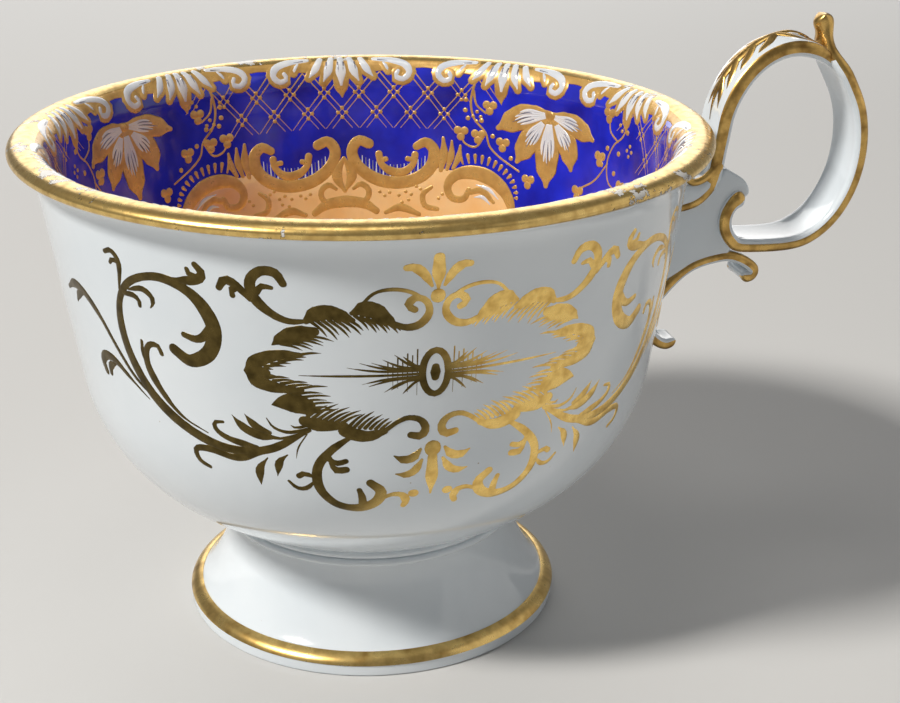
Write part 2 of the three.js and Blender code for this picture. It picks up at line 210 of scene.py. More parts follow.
def bezier(*controls, steps=CURVE_STEPS):
    """Points along a quadratic or cubic curve, ends included."""
    points = []
    for i in range(steps + 1):
        t = i / steps
        row = [Vector(c) for c in controls]
        while len(row) > 1:
            row = [a.lerp(b, t) for a, b in zip(row, row[1:])]
        points.append((row[0].x, row[0].y))
    return points


def piece_from(name, verts, faces, material, smooth_angle=None):
    """A smooth-shaded object from millimetre points, with its normals turned outwards."""
    mesh = bpy.data.meshes.new(name)
    mesh.from_pydata([Vector(v) * MM for v in verts], [], faces)
    shape = bmesh.new()
    shape.from_mesh(mesh)
    bmesh.ops.recalc_face_normals(shape, faces=shape.faces)
    shape.to_mesh(mesh)
    shape.free()
    mesh.shade_smooth()
    if smooth_angle is not None:
        mesh.set_sharp_from_angle(angle=math.radians(smooth_angle))
    mesh.materials.append(material)
    piece = bpy.data.objects.new(name, mesh)
    scene.collection.objects.link(piece)
    return piece


def turned(name, outline, material, smooth_angle=None):
    """A piece turned round the cup's axis. The outline is a closed loop, or ends on the axis."""
    verts = []
    rings = []
    for radius, height in outline:
        if radius == 0:
            rings.append([len(verts)])
            verts.append((0, 0, height))
            continue
        first = len(verts)
        for i in range(TURNED_SEGMENTS):
            angle = 2 * math.pi * i / TURNED_SEGMENTS
            verts.append((radius * math.cos(angle), radius * math.sin(angle), height))
        rings.append(list(range(first, first + TURNED_SEGMENTS)))
    on_axis = len(rings[0]) == 1
    pairs = list(zip(rings, rings[1:]))
    if not on_axis:
        pairs.append((rings[-1], rings[0]))
    faces = []
    for low, high in pairs:
        for i in range(TURNED_SEGMENTS):
            j = (i + 1) % TURNED_SEGMENTS
            if len(low) == 1:
                faces.append((low[0], high[j], high[i]))
            elif len(high) == 1:
                faces.append((low[i], low[j], high[0]))
            else:
                faces.append((low[i], low[j], high[j], high[i]))
    return piece_from(name, verts, faces, material, smooth_angle)


def new_group(name, inputs, outputs):
    """A shader group with named sockets, the sockets that come into it, and its output node."""
    group = bpy.data.node_groups.new(name, "ShaderNodeTree")
    for direction, sockets in (("INPUT", inputs), ("OUTPUT", outputs)):
        for socket, kind in sockets.items():
            group.interface.new_socket(socket, in_out=direction, socket_type="NodeSocket" + kind)
    return group, group.nodes.new("NodeGroupInput").outputs, group.nodes.new("NodeGroupOutput")


def noise(tree, place, scale, detail, roughness=0.5):
    """Cloudy noise from 0 to 1."""
    settings = {"Vector": place, "Scale": scale, "Detail": detail, "Roughness": roughness}
    return add_node(tree, "TexNoise", settings).outputs["Fac"]


def ramp(tree, value, low, high, low_colour=(0, 0, 0, 1), high_colour=(1, 1, 1, 1)):
    """A colour that goes from one to another while a value goes from low to high."""
    node = add_node(tree, "ValToRGB", {"Fac": value})
    for stop, position, colour in zip(node.color_ramp.elements, (low, high), (low_colour, high_colour)):
        stop.position = position
        stop.color = colour
    return node.outputs["Color"]


def mix_colours(tree, share, first, second):
    """A share of the second colour over the first."""
    return add_node(tree, "Mix", {0: share, 6: first, 7: second}, data_type="RGBA").outputs[2]


# Glaze on clay or enamel: faint clouds of tone, a few iron specks and the slow ripple of the dipped coat
glaze_group, glaze_in, glaze_out = new_group(
    "glaze_coat",
    {
        "Colour": "Color", "Shade": "Color", "Speck Colour": "Color",
        "Cloud Scale": "Float", "Ripple": "Float",
    },
    {"Colour": "Color", "Roughness": "Float", "Normal": "Vector"},
)
glaze_place = object_place(glaze_group)
glaze_cloud = noise(glaze_group, glaze_place, glaze_in["Cloud Scale"], CLOUD_DETAIL)
glaze_clouded = ramp(glaze_group, glaze_cloud, *CLOUD_SHARE)
glaze_tone = mix_colours(glaze_group, glaze_clouded, glaze_in["Colour"], glaze_in["Shade"])
glaze_specks = ramp(glaze_group, noise(glaze_group, glaze_place, SPECK_SCALE, 1), *SPECK_SHARE)
glaze_bump = add_node(glaze_group, "Bump", {
    "Strength": glaze_in["Ripple"],
    "Distance": RIPPLE_HEIGHT * MM,
    "Height": noise(glaze_group, glaze_place, RIPPLE_SCALE, 2),
})
wire(glaze_group, glaze_out, {
    "Colour": mix_colours(glaze_group, glaze_specks, glaze_tone, glaze_in["Speck Colour"]),
    "Roughness": rescale(glaze_group, glaze_cloud, end=GLAZE_ROUGHNESS),
    "Normal": glaze_bump.outputs["Normal"],
})


def glazed_material(name, colour, shade, speck_colour, cloud_scale, ripple):
    """A glossy fired surface with the glaze coat's tone and ripple."""
    material, shader = new_material(name, GLAZE_GLOSS)
    tree = material.node_tree
    values = {"Colour": colour, "Shade": shade, "Speck Colour": speck_colour}
    values.update({"Cloud Scale": cloud_scale, "Ripple": ripple})
    coat = add_node(tree, "Group", values, node_tree=glaze_group).outputs
    wire(tree, shader, {
        "Base Color": coat["Colour"], "Roughness": coat["Roughness"], "Normal": coat["Normal"],
    })
    return material


porcelain = glazed_material(
    "porcelain", GLAZE_COLOUR, GLAZE_SHADE, GLAZE_SPECK, cloud_scale=45, ripple=0.06
)

wall_top = RIM_HEIGHT - LIP_FLARE
belly_end = (BELLY_RADIUS, BELLY_HEIGHT)
outside = bezier(
    (NECK_RADIUS, FOOT_HEIGHT),
    (NECK_RADIUS + BELLY_SPREAD, FOOT_HEIGHT + BELLY_RISE),
    (BELLY_RADIUS - BELLY_LEAN, BELLY_HEIGHT - BELLY_TURN),
    belly_end,
)
outside += bezier(belly_end, (WALL_TOP_RADIUS, wall_top), (WALL_TOP_RADIUS, wall_top), steps=8)[1:]
outside += bezier(
    (WALL_TOP_RADIUS, wall_top),
    (WALL_TOP_RADIUS + LIP_NOSE, RIM_HEIGHT - LIP_THICKNESS - LIP_NOSE),
    (RIM_RADIUS - LIP_NOSE, RIM_HEIGHT - LIP_THICKNESS),
    steps=12,
)[1:]
lip = bezier(
    (RIM_RADIUS - LIP_NOSE, RIM_HEIGHT - LIP_THICKNESS),
    (RIM_RADIUS + LIP_NOSE * 0.65, RIM_HEIGHT - LIP_THICKNESS),
    (RIM_RADIUS + LIP_NOSE * 0.65, RIM_HEIGHT),
    (RIM_RADIUS - CREST_INSET, RIM_HEIGHT),
    steps=16,
)
inside = bezier(
    (RIM_RADIUS - CREST_INSET, RIM_HEIGHT),
    (RIM_RADIUS - CREST_INSET * 2, RIM_HEIGHT),
    (WALL_TOP_RADIUS - WALL, RIM_HEIGHT - LIP_FLARE / 2),
    (WALL_TOP_RADIUS - WALL, wall_top),
    steps=16,
)
inside_belly = (BELLY_RADIUS - WALL, BELLY_HEIGHT)
well_edge = (WELL_RADIUS, FOOT_HEIGHT + WELL_FLOOR)
inside += bezier((WALL_TOP_RADIUS - WALL, wall_top), inside_belly, inside_belly, steps=20)[1:]
inside += bezier(
    inside_belly,
    (BELLY_RADIUS - WALL - BELLY_LEAN, BELLY_HEIGHT - BELLY_TURN),
    (WELL_RADIUS + BELLY_SPREAD, FOOT_HEIGHT + WELL_FLOOR + BELLY_RISE),
    well_edge,
)[1:]
inside += [(WELL_RADIUS * 0.5, well_edge[1]), (0, well_edge[1])]

bowl = turned("bowl_body", [(0, FOOT_HEIGHT)] + outside + lip[1:] + inside[1:], porcelain, smooth_angle=50)
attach(bowl, "root")
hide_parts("bowl")

# Pedestal foot: turned in porcelain with a plinth, a gilded slope, a spreading flare and two fine
# fillets at the neck, hollow underneath and luted to the bowl.
FOOT_RADIUS = 26.2
PLINTH_HEIGHT = 1.6
PLINTH_ROUND = 0.4
SLOPE_HEIGHT = 1.2
SLOPE_INSET = 1.6
STANDING_WIDTH = 2.6
RECESS_HEIGHT = 12.6
RECESS_RADIUS = 14
FILLET_STEP = 1.2
FILLET_PROUD = 0.7
FILLET_COUNT = 2
FILLET_GAP = 0.05

standing_inner = FOOT_RADIUS - PLINTH_ROUND - STANDING_WIDTH
slope_top = (FOOT_RADIUS - SLOPE_INSET, PLINTH_HEIGHT + SLOPE_HEIGHT)
neck_height = FOOT_HEIGHT - FILLET_COUNT * FILLET_STEP
foot_outline = [(0, RECESS_HEIGHT)]
foot_outline += bezier(
    (RECESS_RADIUS, RECESS_HEIGHT),
    (RECESS_RADIUS + FILLET_STEP, RECESS_HEIGHT),
    (standing_inner - SLOPE_INSET, slope_top[1]),
    (standing_inner, 0),
)
foot_outline += bezier(
    (FOOT_RADIUS - PLINTH_ROUND, 0), (FOOT_RADIUS, 0), (FOOT_RADIUS, PLINTH_ROUND), steps=6
)
foot_outline.append((FOOT_RADIUS, PLINTH_HEIGHT))
foot_outline += bezier(
    slope_top,
    (slope_top[0] - SLOPE_INSET, slope_top[1] + SLOPE_HEIGHT),
    (NECK_RADIUS, neck_height - FILLET_STEP * 3),
    (NECK_RADIUS, neck_height),
)
for i in range(FILLET_COUNT):
    low = neck_height + i * FILLET_STEP
    foot_outline += bezier(
        (NECK_RADIUS, low + FILLET_GAP),
        (NECK_RADIUS + FILLET_PROUD * 1.5, low + FILLET_GAP),
        (NECK_RADIUS + FILLET_PROUD * 1.2, low + FILLET_STEP),
        (NECK_RADIUS, low + FILLET_STEP),
        steps=8,
    )
foot_outline.append((0, FOOT_HEIGHT))
foot = turned("foot_body", foot_outline, porcelain, smooth_angle=40)
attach(foot, "root")
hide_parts("pedestal_foot")

# Rim gilding: a band of burnished gold brushed over the lip and a little way down both sides,
# rubbed through to the white glaze where the lip is touched most.
GOLD_COLOUR = (0.80, 0.56, 0.20, 1)
RIM_DARK = (0.55, 0.35, 0.11, 1)
BURNT_COLOUR = (0.09, 0.05, 0.02, 1)
BARE_COLOUR = (0.66, 0.64, 0.60, 1)
GOLD_ROUGHNESS = (0.18, 0.42)
BRUSH_DETAIL = 5
BRUSH_STRENGTH = 0.25
BRUSH_HEIGHT = 0.1
TARNISH_SHARE = (0.42, 0.72)
RUB_SCALE = 150
RUB_DETAIL = 6
RUB_ROUGHNESS = 0.7
RUB_LIMITS = (0.92, 0.42)
FRINGE = 0.012
GILDING = 0.12
RIM_INNER_STEPS = 5

# Gold as it is fired on: brush marks of tone, and patches rubbed bare inside a thin dark fringe
gold_group, gold_in, gold_out = new_group(
    "gold_leafing",
    {"Gold": "Color", "Tarnish": "Color", "Wear": "Float", "Brush Scale": "Float"},
    {"Colour": "Color", "Metallic": "Float", "Roughness": "Float", "Normal": "Vector"},
)
gold_place = object_place(gold_group)
gold_brush = noise(gold_group, gold_place, gold_in["Brush Scale"], BRUSH_DETAIL)
gold_dulled = ramp(gold_group, gold_brush, *TARNISH_SHARE)
gold_tone = mix_colours(gold_group, gold_dulled, gold_in["Gold"], gold_in["Tarnish"])
gold_rub = noise(gold_group, gold_place, RUB_SCALE, RUB_DETAIL, RUB_ROUGHNESS)
gold_limit = rescale(gold_group, gold_in["Wear"], end=RUB_LIMITS)
gold_worn = reckon(gold_group, "GREATER_THAN", gold_rub, gold_limit)
gold_burnt = reckon(gold_group, "GREATER_THAN", reckon(gold_group, "ADD", gold_rub, FRINGE), gold_limit)
gold_fringed = mix_colours(gold_group, gold_burnt, gold_tone, BURNT_COLOUR)
gold_bump = add_node(gold_group, "Bump", {
    "Strength": BRUSH_STRENGTH,
    "Distance": BRUSH_HEIGHT * MM,
    "Height": gold_brush,
})
wire(gold_group, gold_out, {
    "Colour": mix_colours(gold_group, gold_worn, gold_fringed, BARE_COLOUR),
    "Metallic": reckon(gold_group, "SUBTRACT", 1, gold_worn),
    "Roughness": rescale(gold_group, gold_brush, end=GOLD_ROUGHNESS),
    "Normal": gold_bump.outputs["Normal"],
})


def gilt_material(name, gold, tarnish, wear, brush_scale, shine=None):
    """Fired gold and its leafing node. It is burnished unless a plain share of shine is given."""
    material, shader = new_material(name, {})
    tree = material.node_tree
    values = {"Gold": gold, "Tarnish": tarnish, "Wear": wear, "Brush Scale": brush_scale}
    leafing = add_node(tree, "Group", values, node_tree=gold_group)
    leaf = leafing.outputs
    wire(tree, shader, {
        "Base Color": leaf["Colour"],
        "Metallic": leaf["Metallic"] if shine is None else shine,
        "Roughness": leaf["Roughness"],
        "Normal": leaf["Normal"],
    })
    return material, leafing


def facings(outline):
    """Directions square to an outline, on its open, right-hand side."""
    made = []
    for before, after in zip(outline[:1] + outline, outline[1:] + outline[-1:]):
        made.append(Vector((after[1] - before[1], before[0] - after[0])).normalized())
    return made


def coat_on(stretch, thickness):
    """A closed outline for a coat on the open side of a stretch of outline."""
    outer = [(r + f.x * thickness, z + f.y * thickness) for (r, z), f in zip(stretch, facings(stretch))]
    return stretch[::-1] + outer


rim_gold, _ = gilt_material("rim_gold", GOLD_COLOUR, RIM_DARK, wear=0.64, brush_scale=800)
rim_stretch = lip + inside[1:RIM_INNER_STEPS]
rim_band = turned("rim_gold_band", coat_on(rim_stretch, GILDING), rim_gold, smooth_angle=60)
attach(rim_band, "root")
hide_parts("rim_gilding")

# Foot gilding: a gold band on the slope above the plinth, laid with a full brush while the cup turns
# on a wheel, then fired and burnished.
FOOT_DARK = (0.42, 0.25, 0.07, 1)

foot_gold, _ = gilt_material("foot_gold", GOLD_COLOUR, FOOT_DARK, wear=0.22, brush_scale=420)
foot_slope = bezier(
    (FOOT_RADIUS, PLINTH_HEIGHT),
    (FOOT_RADIUS - SLOPE_INSET * 0.2, slope_top[1] - SLOPE_HEIGHT * 0.25),
    slope_top,
    steps=6,
)
foot_band = turned("foot_gold_band", coat_on(foot_slope, GILDING), foot_gold, smooth_angle=60)
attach(foot_band, "root")
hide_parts("foot_gilding")

# Handle: press-moulded scrolls with beaded, gilded edges, luted to each other and to the wall. Each
# scroll is a strap section carried along a path in the plane of the handle.
LOOP_CLEAR = 3.6
LOOP_DROP = 6.3
LOOP_HALF_WIDTH = 10.5
LOOP_HALF_HEIGHT = 13.9
SCROLL_STATIONS = 96
SPLINE_STEPS = 10
HEADING_STEP = 0.004
NOSE_STATIONS = 5
NOSE_SMALLEST = 0.06
NOSE_NARROWS = 0.25
ROUNDED_LEVELS = 2
STRAP_SECTION_HALF = [
    (0.5, 0.2), (0.44, 0.48), (0.32, 0.4), (0, 0.34), (-0.32, 0.4), (-0.44, 0.48), (-0.5, 0.2),
]
STRAP_SECTION = STRAP_SECTION_HALF + [(-across, -thick) for across, thick in STRAP_SECTION_HALF]
# gilded faces of the section, for the edges on the left or on the right of a path
LEFT_EDGES = (0, 5, 6, 13)
RIGHT_EDGES = (6, 7, 12, 13)
HANDLE_GOLD = (0.66, 0.42, 0.13, 1)
HANDLE_DARK = (0.26, 0.145, 0.04, 1)

handle_gold, _ = gilt_material("handle_gold", HANDLE_GOLD, HANDLE_DARK, wear=0.3, brush_scale=520)
loop_out = RIM_RADIUS + LOOP_CLEAR + LOOP_HALF_WIDTH
loop_up = RIM_HEIGHT - LOOP_DROP


def smooth_step(value, low, high):
    """0 below low, 1 above high, and a smooth rise between."""
    t = min(max((value - low) / (high - low), 0), 1)
    return t * t * (3 - 2 * t)


def spline(points, steps=SPLINE_STEPS):
    """A smooth curve through points of any dimension, with even steps between each pair."""
    rows = [Vector(p) for p in points]
    rows = [rows[0] * 2 - rows[1]] + rows + [rows[-1] * 2 - rows[-2]]
    made = []
    for a, b, c, d in zip(rows, rows[1:], rows[2:], rows[3:]):
        for i in range(steps):
            t = i / steps
            made.append(
                0.5 * (2 * b + (c - a) * t + (2 * a - 5 * b + 4 * c - d) * t * t
                       + (3 * b - a - 3 * c + d) * t ** 3)
            )
    made.append(rows[-2].copy())
    return made


def even_path(points):
    """A point at any share of a polyline's length, and that length."""
    lengths = [0.0]
    for a, b in zip(points, points[1:]):
        lengths.append(lengths[-1] + (b - a).length)

    def at(share):
        goal = min(max(share, 0), 1) * lengths[-1]
        i = min(bisect_right(lengths, goal), len(points) - 1)
        span = lengths[i] - lengths[i - 1]
        return points[i - 1].lerp(points[i], (goal - lengths[i - 1]) / span if span else 0)

    return at, lengths[-1]


def heading(at, share, step=HEADING_STEP):
    """Direction of a path at a share of its length."""
    return (at(share + step) - at(share - step)).normalized()


def oval_point(centre, half_width, half_height, degrees):
    """A point on an upright oval."""
    angle = math.radians(degrees)
    return (centre[0] + half_width * math.cos(angle), centre[1] + half_height * math.sin(angle))


def loop_point(degrees):
    """A point on the handle's loop, out from the bowl's axis and up from the standing plane."""
    return oval_point((loop_out, loop_up), LOOP_HALF_WIDTH, LOOP_HALF_HEIGHT, degrees)


def sweep(first, last, count, at):
    """Values of a function at even steps from first to last."""
    return [at(first + (last - first) * i / (count - 1)) for i in range(count)]


def tube_faces(first, rings, ring):
    """Faces of a closed tube: those between its rings of points, then its two ends."""
    faces = []
    last = first + (rings - 1) * ring
    for start in range(first, last, ring):
        for k in range(ring):
            n = (k + 1) % ring
            faces.append((start + k, start + n, start + ring + n, start + ring + k))
    faces.append(tuple(range(first, first + ring)))
    faces.append(tuple(range(last, last + ring)))
    return faces


ring_points = len(STRAP_SECTION)
round_section = [
    oval_point((0, 0), 0.5, 0.5, 360 * (k + 0.5) / ring_points) for k in range(ring_points)
]


def scroll_piece(name, path, size_at, gilded_edges, gilded_to=0.0, edges_to=1.0):
    """A strap lofted along a path, gilded all over up to one share and on its edges up to another."""
    at, length = even_path(spline(path))
    nose = size_at(0)[1] / 2
    first = nose / length
    ends = [first * (1 - math.cos(math.pi / 2 * i / NOSE_STATIONS)) for i in range(NOSE_STATIONS)]
    body = [first + (1 - 2 * first) * i / SCROLL_STATIONS for i in range(SCROLL_STATIONS + 1)]
    shares = ends + body + [1 - s for s in reversed(ends)]
    verts = []
    for share in shares:
        centre = at(share)
        along = heading(at, share)
        width, thickness, lift, roundness = size_at(share)
        from_nose = min(min(share, 1 - share) / first, 1)
        rounding = max(math.sqrt(max(1 - (1 - from_nose) ** 2, 0)), NOSE_SMALLEST)
        for flat, full in zip(STRAP_SECTION, round_section):
            across, thick = Vector(flat).lerp(Vector(full), roundness)
            swell = lift * rounding * (0.5 - abs(across)) * 2 if thick < 0 else 0
            off = thick * thickness * rounding - swell
            side = across * width * (1 - NOSE_NARROWS * (1 - rounding))
            verts.append((centre.x - along.y * off, side, centre.y + along.x * off))
    gilded = [
        k in gilded_edges and share < edges_to or share < gilded_to
        for share in shares[:-1] for k in range(ring_points)
    ]
    gilded += [gilded_to > 0, False]
    piece = piece_from(name, verts, tube_faces(0, len(shares), ring_points), porcelain)
    piece.data.materials.append(handle_gold)
    for polygon, is_gilded in zip(piece.data.polygons, gilded):
        polygon.material_index = 1 if is_gilded else 0
    rounded = piece.modifiers.new("rounded", "SUBSURF")
    rounded.levels = ROUNDED_LEVELS
    rounded.render_levels = ROUNDED_LEVELS
    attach(piece, "root")
    return piece


# Ring scroll: porcelain, pressed in one with the handle, from the thumb spur's gilded knob round the
# outside of the loop to a curl under it. Gold runs along its edges.
RING_WIDTH = 8.4
RING_THICKNESS = 2.2
CURL_RADIUS = 3.8
CURL_INSET = 5.6
CURL_DROP = 10
CURL_EYE = 1.2
SPUR_RISE = 4.2
SPUR_SET = 4.6
SPUR_WIDTH = 2.8
SPUR_KNOB = 1.1

curl_out = loop_out - CURL_INSET
curl_up = loop_up - CURL_DROP
spur_tip = (loop_out + SPUR_SET, loop_up + LOOP_HALF_HEIGHT + SPUR_RISE)
spur_root = loop_point(58)


def curl_point(degrees):
    """A point on the curl at the ring's lower end."""
    return oval_point((curl_out, curl_up), CURL_RADIUS, CURL_RADIUS, degrees)


def ring_size(share):
    """Width, thickness, lift and roundness of the ring at a share of its length."""
    width = SPUR_WIDTH + (RING_WIDTH - SPUR_WIDTH) * smooth_step(share, 0.02, 0.16)
    knob = SPUR_KNOB * (1 - smooth_step(share, 0.01, 0.06))
    eye = CURL_EYE * smooth_step(share, 0.95, 1)
    roundness = 1 - smooth_step(share, 0.05, 0.16)
    return width, RING_THICKNESS + knob + eye, 0, roundness


ring_path = [
    spur_tip,
    (spur_tip[0] + SPUR_SET * 0.1, spur_tip[1] - SPUR_RISE * 0.45),
    ((spur_tip[0] + spur_root[0]) / 2 + SPUR_SET * 0.1, spur_root[1] + SPUR_RISE * 0.3),
]
ring_path += sweep(42, -88, 7, loop_point) + sweep(-105, -255, 6, curl_point)
ring = scroll_piece("handle_ring_scroll", ring_path, ring_size, LEFT_EDGES, gilded_to=0.1)
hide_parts("handle_ring")

# Upper strap: porcelain, from the spur's root over the loop and down to its foot, which is luted to the
# wall under the lip. A low leaf is moulded on its outer face.
STRAP_WIDTH = 7.2
STRAP_THICKNESS = 2.4
STRAP_FOOT_DROP = 6
LEAF_LIFT = 1.1
STRAP_SPLAY = 2.2


def wall_radius(height):
    """Radius of the bowl's outside at a height."""
    for (r0, z0), (r1, z1) in zip(outside, outside[1:]):
        if z0 <= height <= z1:
            return r0 + (r1 - r0) * (height - z0) / (z1 - z0)
    return RIM_RADIUS


strap_foot_up = loop_up - STRAP_FOOT_DROP
strap_foot_out = wall_radius(strap_foot_up)
strap_turn = loop_point(180)


def strap_size(share):
    """Width, thickness, lift and roundness of the strap at a share of its length."""
    leaf = smooth_step(share, 0.16, 0.28) * (1 - smooth_step(share, 0.45, 0.7))
    emerging = 0.35 + 0.65 * smooth_step(share, 0.02, 0.22)
    splay = STRAP_SPLAY * smooth_step(share, 0.74, 1)
    return STRAP_WIDTH * emerging, STRAP_THICKNESS * emerging + splay, LEAF_LIFT * leaf, 0


strap_path = sweep(32, 176, 8, loop_point) + [
    (strap_turn[0] - STRAP_THICKNESS * 0.45, strap_turn[1] - STRAP_FOOT_DROP * 0.7),
    ((strap_turn[0] + strap_foot_out) / 2, strap_foot_up + STRAP_THICKNESS * 0.1),
    (strap_foot_out, strap_foot_up),
    (strap_foot_out - STRAP_THICKNESS * 0.6, strap_foot_up),
]
strap = scroll_piece("handle_upper_strap", strap_path, strap_size, RIGHT_EDGES, edges_to=0.8)
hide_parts("handle_strap")

# Gilding on the strap: raised gold, painted with a fine brush over the fired glaze. A leaf with a curled
# head lies on the strap's outer face, and two lines part at its foot on either side.
STROKE_HEIGHT = 0.07
STROKE_SUNK = 0.02
STROKE_STEP = 0.5
STROKE_SPLINE_STEPS = 6
STROKE_HEADING_STEP = 0.02
STROKE_FINEST = 0.02
# half-width from which a stroke stands at its full height
STROKE_FULL = 0.25
STROKE_CAP = (62, 35, 8)
STROKE_SECTION = ((-1.08, 0), (-0.94, 0.5), (-0.5, 0.92), (0, 1), (0.5, 0.92), (0.94, 0.5), (1.08, 0))
LEAF_SUNK = 0.06
LEAF_HEIGHT = 0.16
LEAF_FACE = 0.4
LINE_HEIGHT = 0.42
LINE_SIDE = 3.2

strap_at, strap_length = even_path(spline(strap_path))


def share_of(values, share):
    """A value from a short list taken as evenly spread from share 0 to share 1, eased between."""
    spot = min(max(share, 0), 1) * (len(values) - 1)
    i = min(int(spot), len(values) - 2)
    return values[i] + (values[i + 1] - values[i]) * smooth_step(spot - i, 0, 1)


def brush(paint, place, points, widths, height=STROKE_HEIGHT):
    """Adds a raised stroke with round ends to a paint's points and faces. Widths are half-widths."""
    verts, faces = paint
    at, length = even_path(spline(points, STROKE_SPLINE_STEPS))
    count = max(int(length / STROKE_STEP), 2)
    stations = []
    for i in range(count + 1):
        share = i / count
        width = max(share_of(widths, share), STROKE_FINEST)
        stations.append((at(share), heading(at, share, STROKE_HEADING_STEP), width))
    head, head_along, head_width = stations[0]
    tail_end, tail_along, tail_width = stations[-1]
    for degrees in STROKE_CAP:
        back = math.cos(math.radians(degrees))
        wide = math.sin(math.radians(degrees))
        stations.insert(0, (head - head_along * head_width * back, head_along, head_width * wide))
        stations.append((tail_end + tail_along * tail_width * back, tail_along, tail_width * wide))
    first = len(verts)
    for centre, along, width in stations:
        crown = height * min(width / STROKE_FULL, 1)
        for across, up in STROKE_SECTION:
            off = across * width
            x, y = centre.x - along.y * off, centre.y + along.x * off
            verts.append(place(x, y, up * crown - STROKE_SUNK))
        verts.append(place(centre.x, centre.y, -2 * STROKE_SUNK))
    faces += tube_faces(first, len(stations), len(STROKE_SECTION) + 1)


def mirrored(place):
    """The same map turned over left for right."""
    return lambda around, along, height: place(-around, along, height)


def strap_face(around, along, height):
    """A point on the strap's outer face, across it and along it in millimetres."""
    share = along / strap_length
    width, thickness, lift, _ = strap_size(share)
    ahead = heading(strap_at, share)
    off = -LEAF_FACE * thickness - lift * max(1 - 2 * abs(around) / width, 0) + LEAF_SUNK - height
    centre = strap_at(share)
    return (centre.x - ahead.y * off, around, centre.y + ahead.x * off)


def strap_flank(side):
    """A map onto one side of the strap's foot, out from the bowl's axis and up."""
    return lambda out, up, height: (out, side * (LINE_SIDE + height), up)


leaf_strokes = [
    ([(0, 9.4), (0, 16), (0, 27)], (0.3, 0.9, 0.05)),
    ([(0.3, 13.8), (1.6, 15), (2.7, 17.4)], (0.5, 0.6, 0.1)),
    ([(0.3, 16.4), (1.5, 17.8), (2.5, 20.2)], (0.5, 0.6, 0.1)),
    ([(0.3, 19), (1.3, 20.4), (2.1, 22.8)], (0.5, 0.5, 0.1)),
    ([(0.2, 21.6), (1, 23), (1.6, 25.2)], (0.4, 0.45, 0.1)),
    ([(0.2, 13.4), (1.4, 12), (2.5, 10.2), (2.1, 8.4), (0.9, 8.6), (1, 9.8)],
     (0.3, 0.45, 0.4, 0.35, 0.3, 0.4)),
]
foot_lines = [
    ([(49.2, 60.2), (48.4, 57.6), (46.8, 55.7), (45, 54.9), (42.4, 54.5)], (0.8, 0.75, 0.65, 0.6, 0.5)),
    ([(49.2, 60.2), (48.2, 59.3), (47, 58.5), (45.7, 58.2), (44.9, 58.9), (45.5, 59.6)],
     (0.8, 0.6, 0.5, 0.5, 0.45, 0.35)),
]
strap_paint = ([], [])
for half in (strap_face, mirrored(strap_face)):
    for points, widths in leaf_strokes:
        brush(strap_paint, half, points, widths, LEAF_HEIGHT)
for flank in (strap_flank(-1), strap_flank(1)):
    for points, widths in foot_lines:
        brush(strap_paint, flank, points, widths, LINE_HEIGHT)
strap_gilding = piece_from("strap_gilding", *strap_paint, handle_gold)
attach(strap_gilding, "root")

# Tail scroll: porcelain, a volute and an arch under the bracket, then down the wall, to which it is
# luted, and out to a small flick. Its edges are gilded like the ring's.
TAIL_WIDTH = 6.8
TAIL_THICKNESS = 1.8
TAIL_DROP = 5.3
TAIL_INSET = 3.8
TAIL_REACH = 5
TAIL_FALL = 2.1
TAIL_EYE = 0.9
FLICK_DROP = 12.6
FLICK_REACH = 6.6

arch_out = curl_out - TAIL_INSET
arch_up = curl_up - TAIL_DROP
tip_out = arch_out + TAIL_REACH
tip_up = arch_up - TAIL_FALL
flick_up = arch_up - FLICK_DROP
flick_out = wall_radius(flick_up) + FLICK_REACH
tail_wall_up = flick_up + (arch_up - flick_up) * 0.3
tail_wall_out = wall_radius(tail_wall_up) + TAIL_THICKNESS * 0.4


def tail_size(share):
    """Width, thickness, lift and roundness of the tail at a share of its length."""
    width = TAIL_WIDTH * (1 - 0.3 * smooth_step(share, 0.6, 1))
    return width, TAIL_THICKNESS + TAIL_EYE * (1 - smooth_step(share, 0, 0.06)), 0, 0


tail_path = [
    (tip_out - TAIL_THICKNESS * 0.9, tip_up - TAIL_THICKNESS * 0.7),
    (tip_out - TAIL_THICKNESS * 0.1, tip_up - TAIL_THICKNESS * 0.6),
    (tip_out, tip_up),
    (tip_out * 0.55 + arch_out * 0.45, arch_up * 0.75 + tip_up * 0.25),
    (arch_out, arch_up),
    (tail_wall_out * 0.45 + arch_out * 0.55, arch_up * 0.85 + tail_wall_up * 0.15),
    (tail_wall_out * 0.84 + arch_out * 0.16, arch_up * 0.4 + tail_wall_up * 0.6),
    (tail_wall_out, tail_wall_up),
    (tail_wall_out * 0.72 + flick_out * 0.28, flick_up * 0.75 + tail_wall_up * 0.25),
    (tail_wall_out * 0.35 + flick_out * 0.65, flick_up - TAIL_THICKNESS * 0.2),
    (flick_out, flick_up),
]
tail = scroll_piece("handle_tail_scroll", tail_path, tail_size, RIGHT_EDGES)
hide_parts("handle_tail")

# Bracket: the porcelain web between the wall, the strap, the ring and the tail, with a rounded lobe
# that swells into the loop. It is pressed with the handle and eased along its edges.
BRACKET_WIDTH = 6.4
BRACKET_DROP = 7
BRACKET_HEIGHT = 12.7
BRACKET_EASE = 0.9
EASE_SEGMENTS = 4
LOBE_INSET = 5.7
LOBE_DROP = 6

